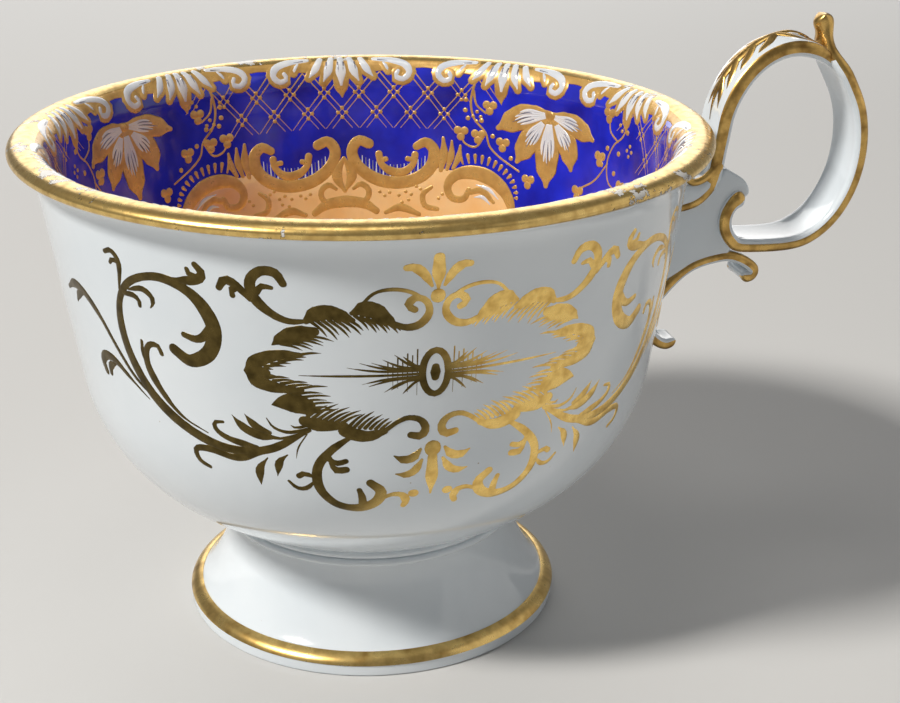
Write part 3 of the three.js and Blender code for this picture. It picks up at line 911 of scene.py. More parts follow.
bracket_top = loop_up - BRACKET_DROP
bracket_foot = bracket_top - BRACKET_HEIGHT
lobe_out = loop_out - LOBE_INSET
lobe_up = loop_up - LOBE_DROP
bracket_back = strap_foot_out - WALL
bracket_outline = [(bracket_back, bracket_top)]
bracket_outline += bezier(
    (strap_foot_out, bracket_top),
    (strap_turn[0] - WALL, bracket_top),
    (strap_turn[0] + STRAP_THICKNESS / 3, loop_up - WALL),
    steps=8,
)
bracket_outline += bezier(
    (strap_turn[0] + STRAP_THICKNESS / 3, loop_up - WALL),
    (strap_turn[0] + STRAP_THICKNESS, loop_up - WALL * 1.6),
    (lobe_out, lobe_up + WALL),
    (lobe_out, lobe_up - WALL * 0.2),
    steps=10,
)[1:]
bracket_outline += [
    curl_point(150),
    (curl_out - CURL_RADIUS, curl_up),
    (curl_out - CURL_RADIUS * 0.6, curl_up - CURL_RADIUS * 0.9),
    (arch_out + WALL / 2, arch_up),
]
bracket_outline += bezier(
    (arch_out, arch_up),
    ((arch_out + tail_wall_out) / 2, arch_up - WALL / 2),
    (tail_wall_out, bracket_foot),
    steps=8,
)
bracket_outline.append((wall_radius(bracket_foot) - WALL, bracket_foot))
bracket_verts = []
for side in (-1, 1):
    bracket_verts += [(out, side * BRACKET_WIDTH / 2, up) for out, up in bracket_outline]
bracket_faces = tube_faces(0, 2, len(bracket_outline))
bracket = piece_from("handle_bracket_web", bracket_verts, bracket_faces, porcelain)
eased = bracket.modifiers.new("eased", "BEVEL")
eased.width = BRACKET_EASE * MM
eased.segments = EASE_SEGMENTS
eased.limit_method = "ANGLE"
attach(bracket, "root")
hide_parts("handle_bracket")

# Cobalt ground: a band of deep blue enamel round the inside, laid over the glaze in a streaky glossy
# coat and fired on.
COBALT_COLOUR = (0.022, 0.036, 0.76, 1)
COBALT_DEEP = (0.012, 0.012, 0.3, 1)
COBALT_SPECK = (0.03, 0.03, 0.3, 1)
COBALT_COAT = 0.05
COBALT_FIRST = 6
COBALT_FOOT = 40

cobalt = glazed_material(
    "cobalt_enamel", COBALT_COLOUR, COBALT_DEEP, COBALT_SPECK, cloud_scale=120, ripple=0.1
)
cobalt_last = min(i for i, (_, height) in enumerate(inside) if height <= COBALT_FOOT)
cobalt_stretch = inside[COBALT_FIRST:cobalt_last]
cobalt_band = turned("cobalt_band", coat_on(cobalt_stretch, COBALT_COAT), cobalt, smooth_angle=60)
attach(cobalt_band, "root")
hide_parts("cobalt_ground")

# Apricot ground: the well's warm enamel, a thin mottled coat from the cobalt down to the floor, fired on.
# Its upper edge is scalloped, to run along under the gold scrolls that are painted over it.
APRICOT_COLOUR = (0.95, 0.64, 0.30, 1)
APRICOT_SHADE = (0.92, 0.54, 0.20, 1)
APRICOT_SPECK = (0.5, 0.2, 0.06, 1)
APRICOT_COAT = 0.09
APRICOT_EDGE = [
    (0, 17.2), (1.5, 18.4), (4, 20.2), (7.5, 21), (11, 20.5), (13.5, 18.8), (15, 18), (17, 18.2),
    (20, 18.2), (24, 19), (27, 21.2), (29, 24.4), (31, 26), (62, 26),
]
EDGE_SOFT = 0.2
EDGE_STEPS = 720
WELL_ROWS = 20
INSIDE_RADIUS = 39
INSIDE_MIDDLE = 84


def painted_place(profile, radius, first_angle, lift=0.0):
    """A map from distance round, distance along a profile and height off it to a point in space."""
    lengths = [0.0]
    for (r0, z0), (r1, z1) in zip(profile, profile[1:]):
        lengths.append(lengths[-1] + math.hypot(r1 - r0, z1 - z0))
    facing = facings(profile)

    def place(around, along, height):
        i = min(max(bisect_right(lengths, along), 1), len(profile) - 1)
        t = (along - lengths[i - 1]) / (lengths[i] - lengths[i - 1])
        r = profile[i - 1][0] + (profile[i][0] - profile[i - 1][0]) * t
        z = profile[i - 1][1] + (profile[i][1] - profile[i - 1][1]) * t
        off = facing[i - 1].lerp(facing[i], min(max(t, 0), 1)) * (height + lift)
        angle = math.radians(first_angle) + around / radius
        return ((r + off.x) * math.cos(angle), (r + off.x) * math.sin(angle), z + off.y)

    return place


apricot = glazed_material(
    "apricot_enamel", APRICOT_COLOUR, APRICOT_SHADE, APRICOT_SPECK, cloud_scale=160, ripple=0.06
)
well_place = painted_place(inside, INSIDE_RADIUS, INSIDE_MIDDLE)
well_length = sum(math.dist(a, b) for a, b in zip(inside, inside[1:])) - WELL_RADIUS
edge_line = spline(APRICOT_EDGE, STROKE_SPLINE_STEPS)
edge_spots = [point.x for point in edge_line]
half_round = math.pi * INSIDE_RADIUS / 2
well_verts = []
for i in range(EDGE_STEPS):
    around = 4 * half_round * i / EDGE_STEPS
    from_middle = abs((around + half_round) % (2 * half_round) - half_round)
    k = min(bisect_right(edge_spots, from_middle), len(edge_line) - 1)
    low, high = edge_line[k - 1], edge_line[k]
    edge = low.y + (high.y - low.y) * (from_middle - low.x) / (high.x - low.x)
    down = [edge + (well_length - edge) * j / WELL_ROWS for j in range(1, WELL_ROWS + 1)]
    column = [(edge, 0), (edge + EDGE_SOFT, APRICOT_COAT)]
    column += [(along, APRICOT_COAT) for along in down]
    column += [(along, 0) for along in reversed(down)]
    well_verts += [well_place(around, along, height) for along, height in column]
rows = len(well_verts) // EDGE_STEPS
floor_row = WELL_ROWS + 1
well_faces = []
for i in range(EDGE_STEPS):
    a = i * rows
    b = (i + 1) % EDGE_STEPS * rows
    for j in range(rows):
        k = (j + 1) % rows
        if j != floor_row:
            well_faces.append((a + j, a + k, b + k, b + j))
well_faces.append(tuple(i * rows + floor_row for i in range(EDGE_STEPS)))
well_faces.append(tuple(i * rows + floor_row + 1 for i in range(EDGE_STEPS)))
apricot_well = piece_from("apricot_well", well_verts, well_faces, apricot, smooth_angle=60)
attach(apricot_well, "root")
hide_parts("apricot_ground")

# Outside gilding: a shell cartouche between long C-scrolls, raised in gold on the white glaze with a
# loaded brush. Half of it is drawn, in millimetres round and up the wall, then turned over for the
# other half, and the whole is painted once on the front and once on the back.
PAINT_RADIUS = 40
EYE_UP = 42.3
EYE_HALF_WIDTH = 1.5
EYE_HALF_HEIGHT = 2.9
EYE_LINE = 0.42
HAIR_WIDTHS = (0.24, 0.168, 0.03)
HAIR_BEND = 0.06
SHORT_HAIR = 0.8
WHISKER_WIDTHS = (0.18, 0.17, 0.04)
BAR_COUNT = 7
BAR_FIRST = -2.1
BAR_STEP = 0.55
BAR_SHORTENS = 0.25
BAR_WIDTHS = (0.06, 0.1)
# Colours of the painted reflection on the outside gold: near black where it stands for mirrored shade,
# bright where it stands for mirrored light
PAINTED_DARK_REFLECTION_GOLD = (0.12, 0.085, 0.026, 1)
PAINTED_DARK_REFLECTION_TARNISH = (0.06, 0.042, 0.012, 1)
PAINTED_BRIGHT_REFLECTION_GOLD = (0.98, 0.68, 0.22, 1)
PAINTED_BRIGHT_REFLECTION_TARNISH = (0.66, 0.40, 0.10, 1)
# Where the painted reflection turns from dark to bright, in height, bow and width
REFLECTION_MIDDLE_HEIGHT = 47.5
REFLECTION_BOW = 0.7
REFLECTION_RANGE = (1 * MM, 10 * MM)


def comb(paint, place, roots, tips, count):
    """A row of tapering hairs from a line of roots to a line of tips, each line given by its ends."""
    for i in range(count):
        share = i / (count - 1)
        root = Vector(roots[0]).lerp(Vector(roots[1]), share)
        tip = Vector(tips[0]).lerp(Vector(tips[1]), share)
        tip = root + (tip - root) * (1 if i % 2 else SHORT_HAIR)
        middle = (root + tip) / 2 + Vector((root.y - tip.y, tip.x - root.x)) * HAIR_BEND
        brush(paint, place, [root, middle, tip], HAIR_WIDTHS)


def eye_point(degrees):
    """A point on the ring round the cartouche's eye."""
    return oval_point((0, EYE_UP), EYE_HALF_WIDTH, EYE_HALF_HEIGHT, degrees)


# Strokes of the left half: points round and up the wall, then half-widths from end to end
scroll_strokes = [
    # the long C-scroll, its fork and its two crowning leaves
    ([(-14.7, 34.8), (-20, 31.6), (-26, 31), (-32, 33.1), (-36.6, 36.8), (-39.1, 42), (-38.9, 47.4),
      (-36.2, 51.1), (-31.5, 52.7), (-27.2, 51.2), (-25.1, 47.5), (-26, 44), (-28.8, 42.3), (-31, 43.4)],
     (0.3, 0.55, 0.6, 0.7, 0.8, 0.8, 0.7, 0.5, 0.5, 0.65, 0.95, 0.95, 0.75)),
    ([(-25.3, 48), (-26.2, 46.2), (-27.6, 45.4), (-29.2, 45.7)], (0.3, 0.6, 0.5, 0.4)),
    ([(-38.3, 49.6), (-37.6, 52), (-37.5, 53.6), (-38.4, 54.6), (-39.6, 54.2)],
     (0.15, 0.3, 0.45, 0.4, 0.3)),
    ([(-37.5, 53.3), (-38.5, 53.4), (-39, 52.9)], (0.3, 0.35, 0.25)),
    ([(-31, 52.7), (-28.2, 52.9), (-26.3, 53.3), (-25.6, 54.2), (-26.3, 55.2)], (0.2, 0.3, 0.6, 0.6, 0.4)),
    ([(-26.2, 53.6), (-27.2, 53.9), (-27.4, 54.5)], (0.4, 0.4, 0.3)),
    # the sprig and the feathered leaf inside it
    ([(-37.6, 49.3), (-36, 49.4), (-35.2, 48.9), (-35.2, 48.2)], (0.3, 0.4, 0.4, 0.3)),
    ([(-36.6, 50), (-34.4, 50.6), (-33.1, 49.9), (-33, 49), (-33.5, 48.3)], (0.15, 0.35, 0.45, 0.4, 0.1)),
    ([(-28, 32.6), (-31.5, 34.1), (-34, 36.6), (-35.6, 39.4), (-35.8, 41.4), (-35, 43), (-33.6, 43.3),
      (-33.1, 42.3)], (0.1, 0.15, 0.3, 0.5, 0.65, 0.55, 0.4, 0.35)),
    ([(-36.1, 43.3), (-36.3, 41.5), (-35.7, 39.4)], (0.25, 0.3, 0.1)),
    # the two stems that sweep out to the side
    ([(-36.2, 35.6), (-39, 37.9), (-41.4, 41), (-43.8, 44.4), (-46.6, 46.7), (-49.4, 47.2), (-52, 46)],
     (0.1, 0.3, 0.35, 0.4, 0.6, 0.7, 0.3)),
    ([(-47.4, 46.6), (-48.8, 45.9), (-49.7, 44.8)], (0.4, 0.6, 0.2)),
    ([(-36.8, 35.1), (-40, 37.3), (-42.4, 38.8), (-44.4, 39), (-45.7, 37.9), (-45.4, 36.4)],
     (0.1, 0.2, 0.4, 0.6, 0.7, 0.5)),
    ([(-42.6, 38.3), (-44, 37.6), (-44.3, 36.5)], (0.2, 0.6, 0.4)),
    # leaves on the stem, above and below
    ([(-21.4, 31.7), (-24.8, 32.3), (-26.6, 33.2), (-26.8, 34.3), (-25.6, 34.6)],
     (0.3, 0.5, 0.4, 0.35, 0.2)),
    ([(-21, 31), (-24.5, 29.8), (-28, 30.3), (-30.2, 29.9), (-30, 28.3), (-28.6, 27.6)],
     (0.3, 0.55, 0.45, 0.5, 0.4, 0.3)),
    ([(-18.4, 33.4), (-21, 33.5), (-23, 34.4), (-24.4, 36)], (0.15, 0.6, 0.6, 0.03)),
    ([(-19.6, 34), (-21.4, 34.8), (-22.7, 36.4)], (0.3, 0.55, 0.03)),
    ([(-15, 34.9), (-17.2, 34.3), (-19, 34.8), (-19.8, 36)], (0.2, 0.25, 0.2, 0.1)),
    ([(-15.2, 35.3), (-16.3, 35), (-17, 35.4)], (0.2, 0.2, 0.05)),
    ([(-15, 34.5), (-18, 33.4), (-20.5, 33.2)], (0.2, 0.2, 0.1)),
    ([(-15, 34.2), (-16.2, 32.2), (-16.6, 30.3)], (0.1, 0.12, 0.05)),
    ([(-17.6, 31.1), (-18.7, 30), (-19.2, 27.7)], (0.1, 0.55, 0.03)),
    ([(-20.2, 30.4), (-21.4, 28.6), (-21.6, 25.8)], (0.1, 0.6, 0.03)),
    # the lower C-scroll with its lobes
    ([(-9.8, 34), (-12.3, 32), (-14, 29.5), (-13.9, 26.4), (-12, 23.9), (-9.3, 23.2), (-7, 24.2),
      (-6.3, 26), (-7.6, 27.4)], (0.3, 0.5, 0.6, 0.65, 0.6, 0.6, 0.75, 0.75, 0.55)),
    ([(-8.6, 23.6), (-8.7, 25.2), (-9, 26.3)], (0.6, 0.5, 0.35)),
    ([(-6.6, 24.6), (-5, 25.4), (-3.7, 25.3), (-3.1, 24.3), (-3.4, 23.4)], (0.3, 0.3, 0.4, 0.6, 0.4)),
    ([(-12.6, 31.8), (-12.4, 30.7), (-11.5, 30.3), (-10.5, 30.6)], (0.2, 0.4, 0.4, 0.35)),
    ([(-12.4, 30.3), (-11.7, 29.3), (-10.5, 29.4)], (0.2, 0.5, 0.45)),
    ([(-14.6, 28.2), (-15.7, 28.6), (-16.4, 28.2)], (0.2, 0.4, 0.4)),
    ([(-14.6, 27.4), (-15.6, 26.4), (-16.8, 26.3), (-17.8, 27.3)], (0.2, 0.35, 0.3, 0.2)),
    # the lobes of the shell, from its top round to its foot
    ([(-9.2, 50.4), (-8, 50.9), (-6.8, 50.7), (-5.6, 49.7), (-4.5, 48.6)], (0.3, 1.05, 1.0, 0.7, 0.3)),
    ([(-14.2, 49.3), (-13.2, 50.2), (-11.8, 50.5), (-10.4, 50.1), (-9.2, 49.5)],
     (0.4, 0.95, 0.95, 0.8, 0.35)),
    ([(-18.3, 45.9), (-17, 46.9), (-15.4, 47.5), (-13.4, 48)], (0.06, 0.75, 1.1, 1.05, 0.6)),
    ([(-21.9, 42.2), (-20.7, 43.3), (-19.2, 44.2), (-17.2, 44.8), (-15.2, 44.9)],
     (0.1, 0.9, 0.8, 0.6, 0.3)),
    ([(-21.9, 42.2), (-20.7, 41.1), (-19.2, 40.5), (-17.2, 40.2), (-15.2, 40.2)],
     (0.1, 0.9, 0.8, 0.55, 0.3)),
    ([(-21.2, 42.2), (-20.2, 42.2), (-19.2, 42.2)], (0.5, 1.1, 0.5)),
    ([(-19, 37.9), (-17.6, 38.3), (-16.2, 38.4), (-14.8, 38)], (0.06, 0.75, 1.25, 1.35, 1.1)),
    ([(-15.2, 36), (-14.2, 35.7), (-12.6, 35.5), (-10.4, 35.6)], (0.7, 0.9, 0.7, 0.4)),
    ([(-10.4, 34.9), (-9.2, 34.3), (-7.6, 34.1), (-5.8, 34.7)], (0.9, 0.85, 0.7, 0.4)),
    # small scrolls at the top and foot of the shell
    ([(-5.2, 49.2), (-3.4, 48.4), (-1.8, 48.8), (-0.9, 50.2), (-1.3, 51.7), (-2.5, 52.1), (-3.2, 51.2),
      (-2.5, 50.6)], (0.3, 0.4, 0.5, 0.5, 0.4, 0.4, 0.5, 0.4)),
    ([(-8.3, 51.3), (-6.8, 52.9), (-4.8, 53.3), (-2.8, 52.8), (-1.3, 51.5)], (0.2, 0.2, 0.25, 0.25, 0.3)),
    ([(-5.6, 34.9), (-4.3, 35.9), (-3, 36.4), (-1.6, 36), (-0.95, 34.8), (-1.5, 33.8), (-2.7, 34)],
     (0.3, 0.3, 0.35, 0.4, 0.5, 0.55, 0.45)),
    # the branch that rises to the left of the shell
    ([(-14, 49.3), (-16.2, 49.2), (-18.2, 50.2), (-19.8, 52), (-20, 54), (-18.8, 55.3), (-17.2, 55.2),
      (-16.4, 53.9)], (0.25, 0.4, 0.5, 0.65, 0.65, 0.6, 0.6, 0.45)),
    ([(-19.4, 52.6), (-18.8, 53.4), (-17.7, 53.3)], (0.4, 0.4, 0.25)),
    ([(-20.2, 51.6), (-21.6, 53.2), (-22.9, 53.8), (-23.7, 52.7)], (0.3, 0.5, 0.6, 0.4)),
    ([(-21.6, 53), (-22.3, 52.5), (-22.2, 51.9)], (0.4, 0.45, 0.35)),
    # the palmette's side leaf and the pendant's curls
    ([(-0.7, 53.5), (-1.6, 55.1), (-2.6, 55.9), (-3.4, 55.9)], (0.2, 0.5, 0.6, 0.4)),
    ([(-1.5, 31.9), (-2.4, 30.8), (-3.6, 30.6), (-4.7, 31.2)], (0.2, 0.6, 0.55, 0.1)),
    ([(-1.3, 30.4), (-2.1, 29), (-3.2, 28.4), (-4.5, 28.6)], (0.2, 0.55, 0.5, 0.1)),
    ([(-2.1, 25.4), (-2.3, 25.4)], (0.6, 0.6)),
]
# Combed hairs inside the lobes: ends of the line of roots, ends of the line of tips, how many
comb_rows = [
    ((-8.9, 50.1), (-5, 49.1), (-6.9, 47.4), (-3.6, 47.5), 7),
    ((-13.8, 49.4), (-9.6, 49.6), (-11.2, 46.3), (-7.4, 47.5), 7),
    ((-17.2, 46.2), (-14.4, 47.4), (-13.8, 45.1), (-10.8, 46.6), 6),
    ((-20.2, 42.6), (-15.8, 44.7), (-17.4, 42.7), (-12.2, 45.2), 6),
    ((-20.2, 41.8), (-15.8, 40.3), (-17.2, 41.9), (-11.6, 40.8), 6),
    ((-16.2, 39.6), (-14.8, 37), (-11.2, 39.9), (-10.6, 37.8), 6),
    ((-14.8, 36.6), (-10.8, 35.9), (-11.2, 39), (-7.4, 37.6), 7),
    ((-10, 35.4), (-6.2, 35), (-7, 38), (-4.4, 36.5), 7),
]
# Tips of the whiskers that spread from the eye
whiskers = [
    (-17.8, 42.1), (-11, 43.5), (-9.4, 44.2), (-7.9, 44.2), (-6.5, 44.6), (-5, 45.2), (-4, 44.9),
    (-9.2, 40.9), (-8.5, 40.5), (-6.3, 39.7), (-5.6, 39.9), (-4, 39.4),
]
# Strokes on the line of symmetry: the eye's ring and pupil, the palmette's middle leaf and bead, the
# pendant's bead and drop
middle_strokes = [
    (sweep(0, 360, 13, eye_point), (EYE_LINE, EYE_LINE)),
    ([(0, EYE_UP - 0.7), (0, EYE_UP), (0, EYE_UP + 0.7)], (0.45, 0.6, 0.45)),
    ([(0, 53.2), (0, 55.4), (0, 57)], (0.2, 0.75, 0.6)),
    ([(0, 52.1), (0, 52.3)], (0.8, 0.8)),
    ([(0, 31.8), (0, 32)], (1, 1)),
    ([(0, 30.7), (0, 28.6), (0, 25.2)], (0.6, 0.8, 0.15)),
]

# Painted reflection: the gold is coloured bright towards the handle, as if mirroring lit surroundings, and
# near black away from it, as if mirroring shaded ones, with the border between them bowed round the eye
outside_gold_painted_reflection, outside_leafing = gilt_material(
    "outside_gold_painted_reflection", PAINTED_BRIGHT_REFLECTION_GOLD, PAINTED_BRIGHT_REFLECTION_TARNISH, wear=0.06, brush_scale=700
)
outside_tree = outside_gold_painted_reflection.node_tree
outside_axes = add_node(outside_tree, "SeparateXYZ", {"Vector": object_place(outside_tree)}).outputs
outside_rise = reckon(outside_tree, "SUBTRACT", outside_axes["Z"], REFLECTION_MIDDLE_HEIGHT * MM)
outside_off = reckon(outside_tree, "ABSOLUTE", outside_rise)
outside_reflection_way = reckon(outside_tree, "MULTIPLY_ADD", outside_off, REFLECTION_BOW, outside_axes["X"])
outside_painted_reflection = rescale(outside_tree, outside_reflection_way, REFLECTION_RANGE, ease="SMOOTHSTEP")
wire(outside_tree, outside_leafing, {
    "Gold": ramp(outside_tree, outside_painted_reflection, 0, 1, PAINTED_DARK_REFLECTION_GOLD, PAINTED_BRIGHT_REFLECTION_GOLD),
    "Tarnish": ramp(outside_tree, outside_painted_reflection, 0, 1, PAINTED_DARK_REFLECTION_TARNISH, PAINTED_BRIGHT_REFLECTION_TARNISH),
})

for side, first_angle in (("front", -90), ("back", 90)):
    paint = ([], [])
    whole = painted_place(outside, PAINT_RADIUS, first_angle)
    for half in (whole, mirrored(whole)):
        for points, widths in scroll_strokes:
            brush(paint, half, points, widths)
        for roots_from, roots_to, tips_from, tips_to, hairs in comb_rows:
            comb(paint, half, (roots_from, roots_to), (tips_from, tips_to), hairs)
        for tip in whiskers:
            rise = tip[1] - EYE_UP
            bent = [(-EYE_HALF_WIDTH, EYE_UP + rise * 0.3), (tip[0] * 0.6, EYE_UP + rise * 0.42), tip]
            brush(paint, half, bent, WHISKER_WIDTHS)
        # upright bars beside the eye, each shorter than the last
        for i in range(BAR_COUNT):
            reach = EYE_HALF_HEIGHT - BAR_SHORTENS * i
            bar_at = BAR_FIRST - BAR_STEP * i
            lean = (-1) ** i * BAR_SHORTENS
            brush(paint, half, [(bar_at, EYE_UP - reach), (bar_at, EYE_UP + reach + lean)], BAR_WIDTHS)
    for points, widths in middle_strokes:
        brush(paint, whole, points, widths)
    scrollwork = piece_from("gilt_scrollwork_" + side, *paint, outside_gold_painted_reflection)
    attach(scrollwork, "root")

# Inside painting: over the cobalt and the apricot, gold scrolls, a trellis, lotus flowers and berry
# sprigs, under a border of white acanthus edged in gold. One design is painted twice, on the far wall and
# on the near one, with a narrow trellis between; the border's leaf goes round ten times.
INSIDE_LIFT = 0.07
DOT_HALF = 0.05
GOLD_LOW = 0.05
GOLD_HIGH = 0.08
WHITE_HIGH = 0.13
# narrow streaks keep only a part of their height
STREAK_HIGH = 0.42
INSIDE_GOLD = (0.72, 0.44, 0.13, 1)
INSIDE_DARK = (0.54, 0.30, 0.08, 1)
WHITE_COLOUR = (0.86, 0.87, 0.87, 1)
WHITE_SHADE = (0.66, 0.71, 0.78, 1)
WHITE_SPECK = (0.5, 0.45, 0.4, 1)
STREAK_COLOUR = (0.26, 0.27, 0.36, 1)
STREAK_SHADE = (0.16, 0.15, 0.18, 1)

inside_gold, _ = gilt_material(
    "inside_gold", INSIDE_GOLD, INSIDE_DARK, wear=0.05, brush_scale=600, shine=0.3
)
white_enamel = glazed_material(
    "white_enamel", WHITE_COLOUR, WHITE_SHADE, WHITE_SPECK, cloud_scale=260, ripple=0.15
)
grey_enamel = glazed_material(
    "grey_enamel", STREAK_COLOUR, STREAK_SHADE, STREAK_COLOUR, cloud_scale=300, ripple=0.1
)
gold_paint = ([], [])
white_paint = ([], [])
grey_paint = ([], [])


def dot(place, around, along, size, height=GOLD_HIGH):
    """A round touch of gold."""
    ends = [(around - DOT_HALF, along), (around + DOT_HALF, along)]
    brush(gold_paint, place, ends, (size, size), height)


# Lotus flowers: points from the flower's heart, half-width and share of white of each petal
PETAL_SHAPE = (0.4, 0.8, 1, 0.86, 0.2)
PETAL_FEATHERS = ((-0.46, 0.8), (-0.24, 0.97), (0, 1), (0.24, 0.94), (0.46, 0.84))
PETAL_STREAKS = ((-0.3, 0.8), (0.06, 0.95), (0.34, 0.75))
PETAL_GATHER = 0.4
STREAK_WIDTHS = (0.05, 0.12, 0.03)
LOTUS_HEART = 0.7
LOTUS_PLACES = ((-33.2, 8), (36.5, 7))
lotus_petals = [
    ([(-0.4, 0), (-4.7, 0.7), (-8.8, 2)], 1.6, 0.84),
    ([(0.4, 0), (4.9, 0.9), (8.8, 3)], 1.9, 0.84),
    ([(-1.1, 0.9), (-4, 4.1), (-5.1, 7.2)], 1.85, 0.78),
    ([(0.9, 0.9), (3.4, 4.5), (5.1, 7.7)], 1.85, 0.78),
    ([(0, 0.8), (-0.2, 5.8), (-0.6, 10.5)], 2.15, 0.82),
]


def petal(place, points, wide, white_share):
    """A gold petal, with white feathered over its root and grey streaks drawn through the white."""
    brush(gold_paint, place, points, [wide * part for part in PETAL_SHAPE], GOLD_HIGH)
    at, _ = even_path(spline(points, STROKE_SPLINE_STEPS))
    (u0, s0), (u1, s1) = points[0], points[-1]
    cross = Vector((s0 - s1, u1 - u0)).normalized() * wide

    def touches(paint, leans, root, middle, widths, height):
        for lean, reach in leans:
            touch = [at(root) + cross * lean * PETAL_GATHER]
            touch += [at(white_share * reach * part) + cross * lean for part in (middle, 1)]
            brush(paint, place, touch, widths, height)

    feather_widths = (wide * 0.1, wide * 0.15, 0.04)
    touches(white_paint, PETAL_FEATHERS, 0.06, 0.55, feather_widths, WHITE_HIGH)
    touches(grey_paint, PETAL_STREAKS, 0.2, 0.6, STREAK_WIDTHS, STREAK_HIGH)


# Berry sprigs: one hangs beside the wide trellis, one beside the narrow one. Each has its stems with
# half-widths, its berries, its clusters of three, and the sizes of berry and cluster.
CLUSTER_SPREAD = 1.05
CLUSTER_TURNS = (90, 210, 330)
STEM_WIDTHS = (0.2, 0.16, 0.14)
FINE_STEM_WIDTHS = (0.14, 0.14)
trellis_sprig = (
    [
        ([(20.2, 4.5), (19.7, 7.4), (20.4, 10), (22.4, 12), (23.2, 14), (25.2, 15.6), (28.6, 17.2)],
         STEM_WIDTHS),
        ([(20.1, 5.8), (20.6, 7.8), (22.2, 9)], STEM_WIDTHS),
        ([(22.3, 12.2), (21, 14.3), (19.2, 14), (18.4, 12.8)], STEM_WIDTHS),
    ],
    [(18.9, 7.2), (18.9, 8.8), (19.4, 10), (21.6, 10.2), (23.6, 12.4), (27, 15.4)],
    [(22.8, 8), (21.2, 12.6), (18.4, 12.3), (25.4, 13.4), (30.4, 18.4)],
    (0.34, 0.6),
)
side_sprig = (
    [
        ([(-11.4, 5), (-12.6, 8), (-14.4, 9.6), (-15.4, 12.2), (-14.6, 15), (-12.4, 16)],
         (0.16, 0.14, 0.14)),
        ([(-15.3, 12.6), (-17.6, 15.6), (-20.4, 17.4)], FINE_STEM_WIDTHS),
        ([(-13.6, 9), (-15.6, 8), (-16.2, 6.4)], FINE_STEM_WIDTHS),
        ([(-12.4, 16), (-9, 18.4), (-4.6, 19.4), (0, 18.4)], (0.14, 0.16, 0.14)),
    ],
    [(-11.6, 7.2), (-13, 10.6), (-15.8, 10.4), (-16.6, 13), (-13.4, 13.6), (-10.6, 16.2), (-7, 17.8),
     (-3.4, 20.6)],
    [(-16.4, 5.6), (-17.2, 12.2), (-11.2, 15.2), (-21, 18.2), (-7.8, 20.4), (0, 20.2)],
    (0.36, 0.62),
)


def sprig(place, stems, berries, clusters, sizes):
    """A berry sprig, in gold."""
    for points, widths in stems:
        brush(gold_paint, place, points, widths, GOLD_LOW)
    for around, along in berries:
        dot(place, around, along, sizes[0])
    for cluster in clusters:
        for degrees in CLUSTER_TURNS:
            reach = sizes[1] * CLUSTER_SPREAD
            dot(place, *oval_point(cluster, reach, reach, degrees), sizes[1])


# Trellis: doubled lines both ways under the border, with four dots where they cross
TRELLIS_STEP = 5.2
TRELLIS_SLOPE = 1.2
TRELLIS_TOP = 3.4
TRELLIS_REACH = 7.2
TRELLIS_CUT = 0.47
TRELLIS_PAIR = 0.5
TRELLIS_WIDTHS = (0.09, 0.05)
TRELLIS_DOT = 0.26
TRELLIS_DOTS = ((0.62, 0), (-0.62, 0), (0, 0.74), (0, -0.74))


def trellis(place, lines, limit):
    """A trellis of so many lines to either side, cut short past a limit."""
    for i in range(-lines, lines + 1):
        top = i * TRELLIS_STEP
        for lean in (-1, 1):
            inside_limit = abs(top + lean * TRELLIS_REACH) < limit
            reach = TRELLIS_REACH * (1 if inside_limit else TRELLIS_CUT)
            for offset in (-TRELLIS_PAIR, TRELLIS_PAIR):
                start = (top + offset, TRELLIS_TOP)
                end = (top + offset + lean * reach, TRELLIS_TOP + reach * TRELLIS_SLOPE)
                brush(gold_paint, place, [start, end], TRELLIS_WIDTHS, GOLD_LOW)
        for around, row in ((top + TRELLIS_STEP / 2, 1), (top, 2)):
            along = TRELLIS_TOP + row * TRELLIS_STEP / 2 * TRELLIS_SLOPE
            for du, ds in TRELLIS_DOTS:
                dot(place, around + du, along + ds, TRELLIS_DOT)


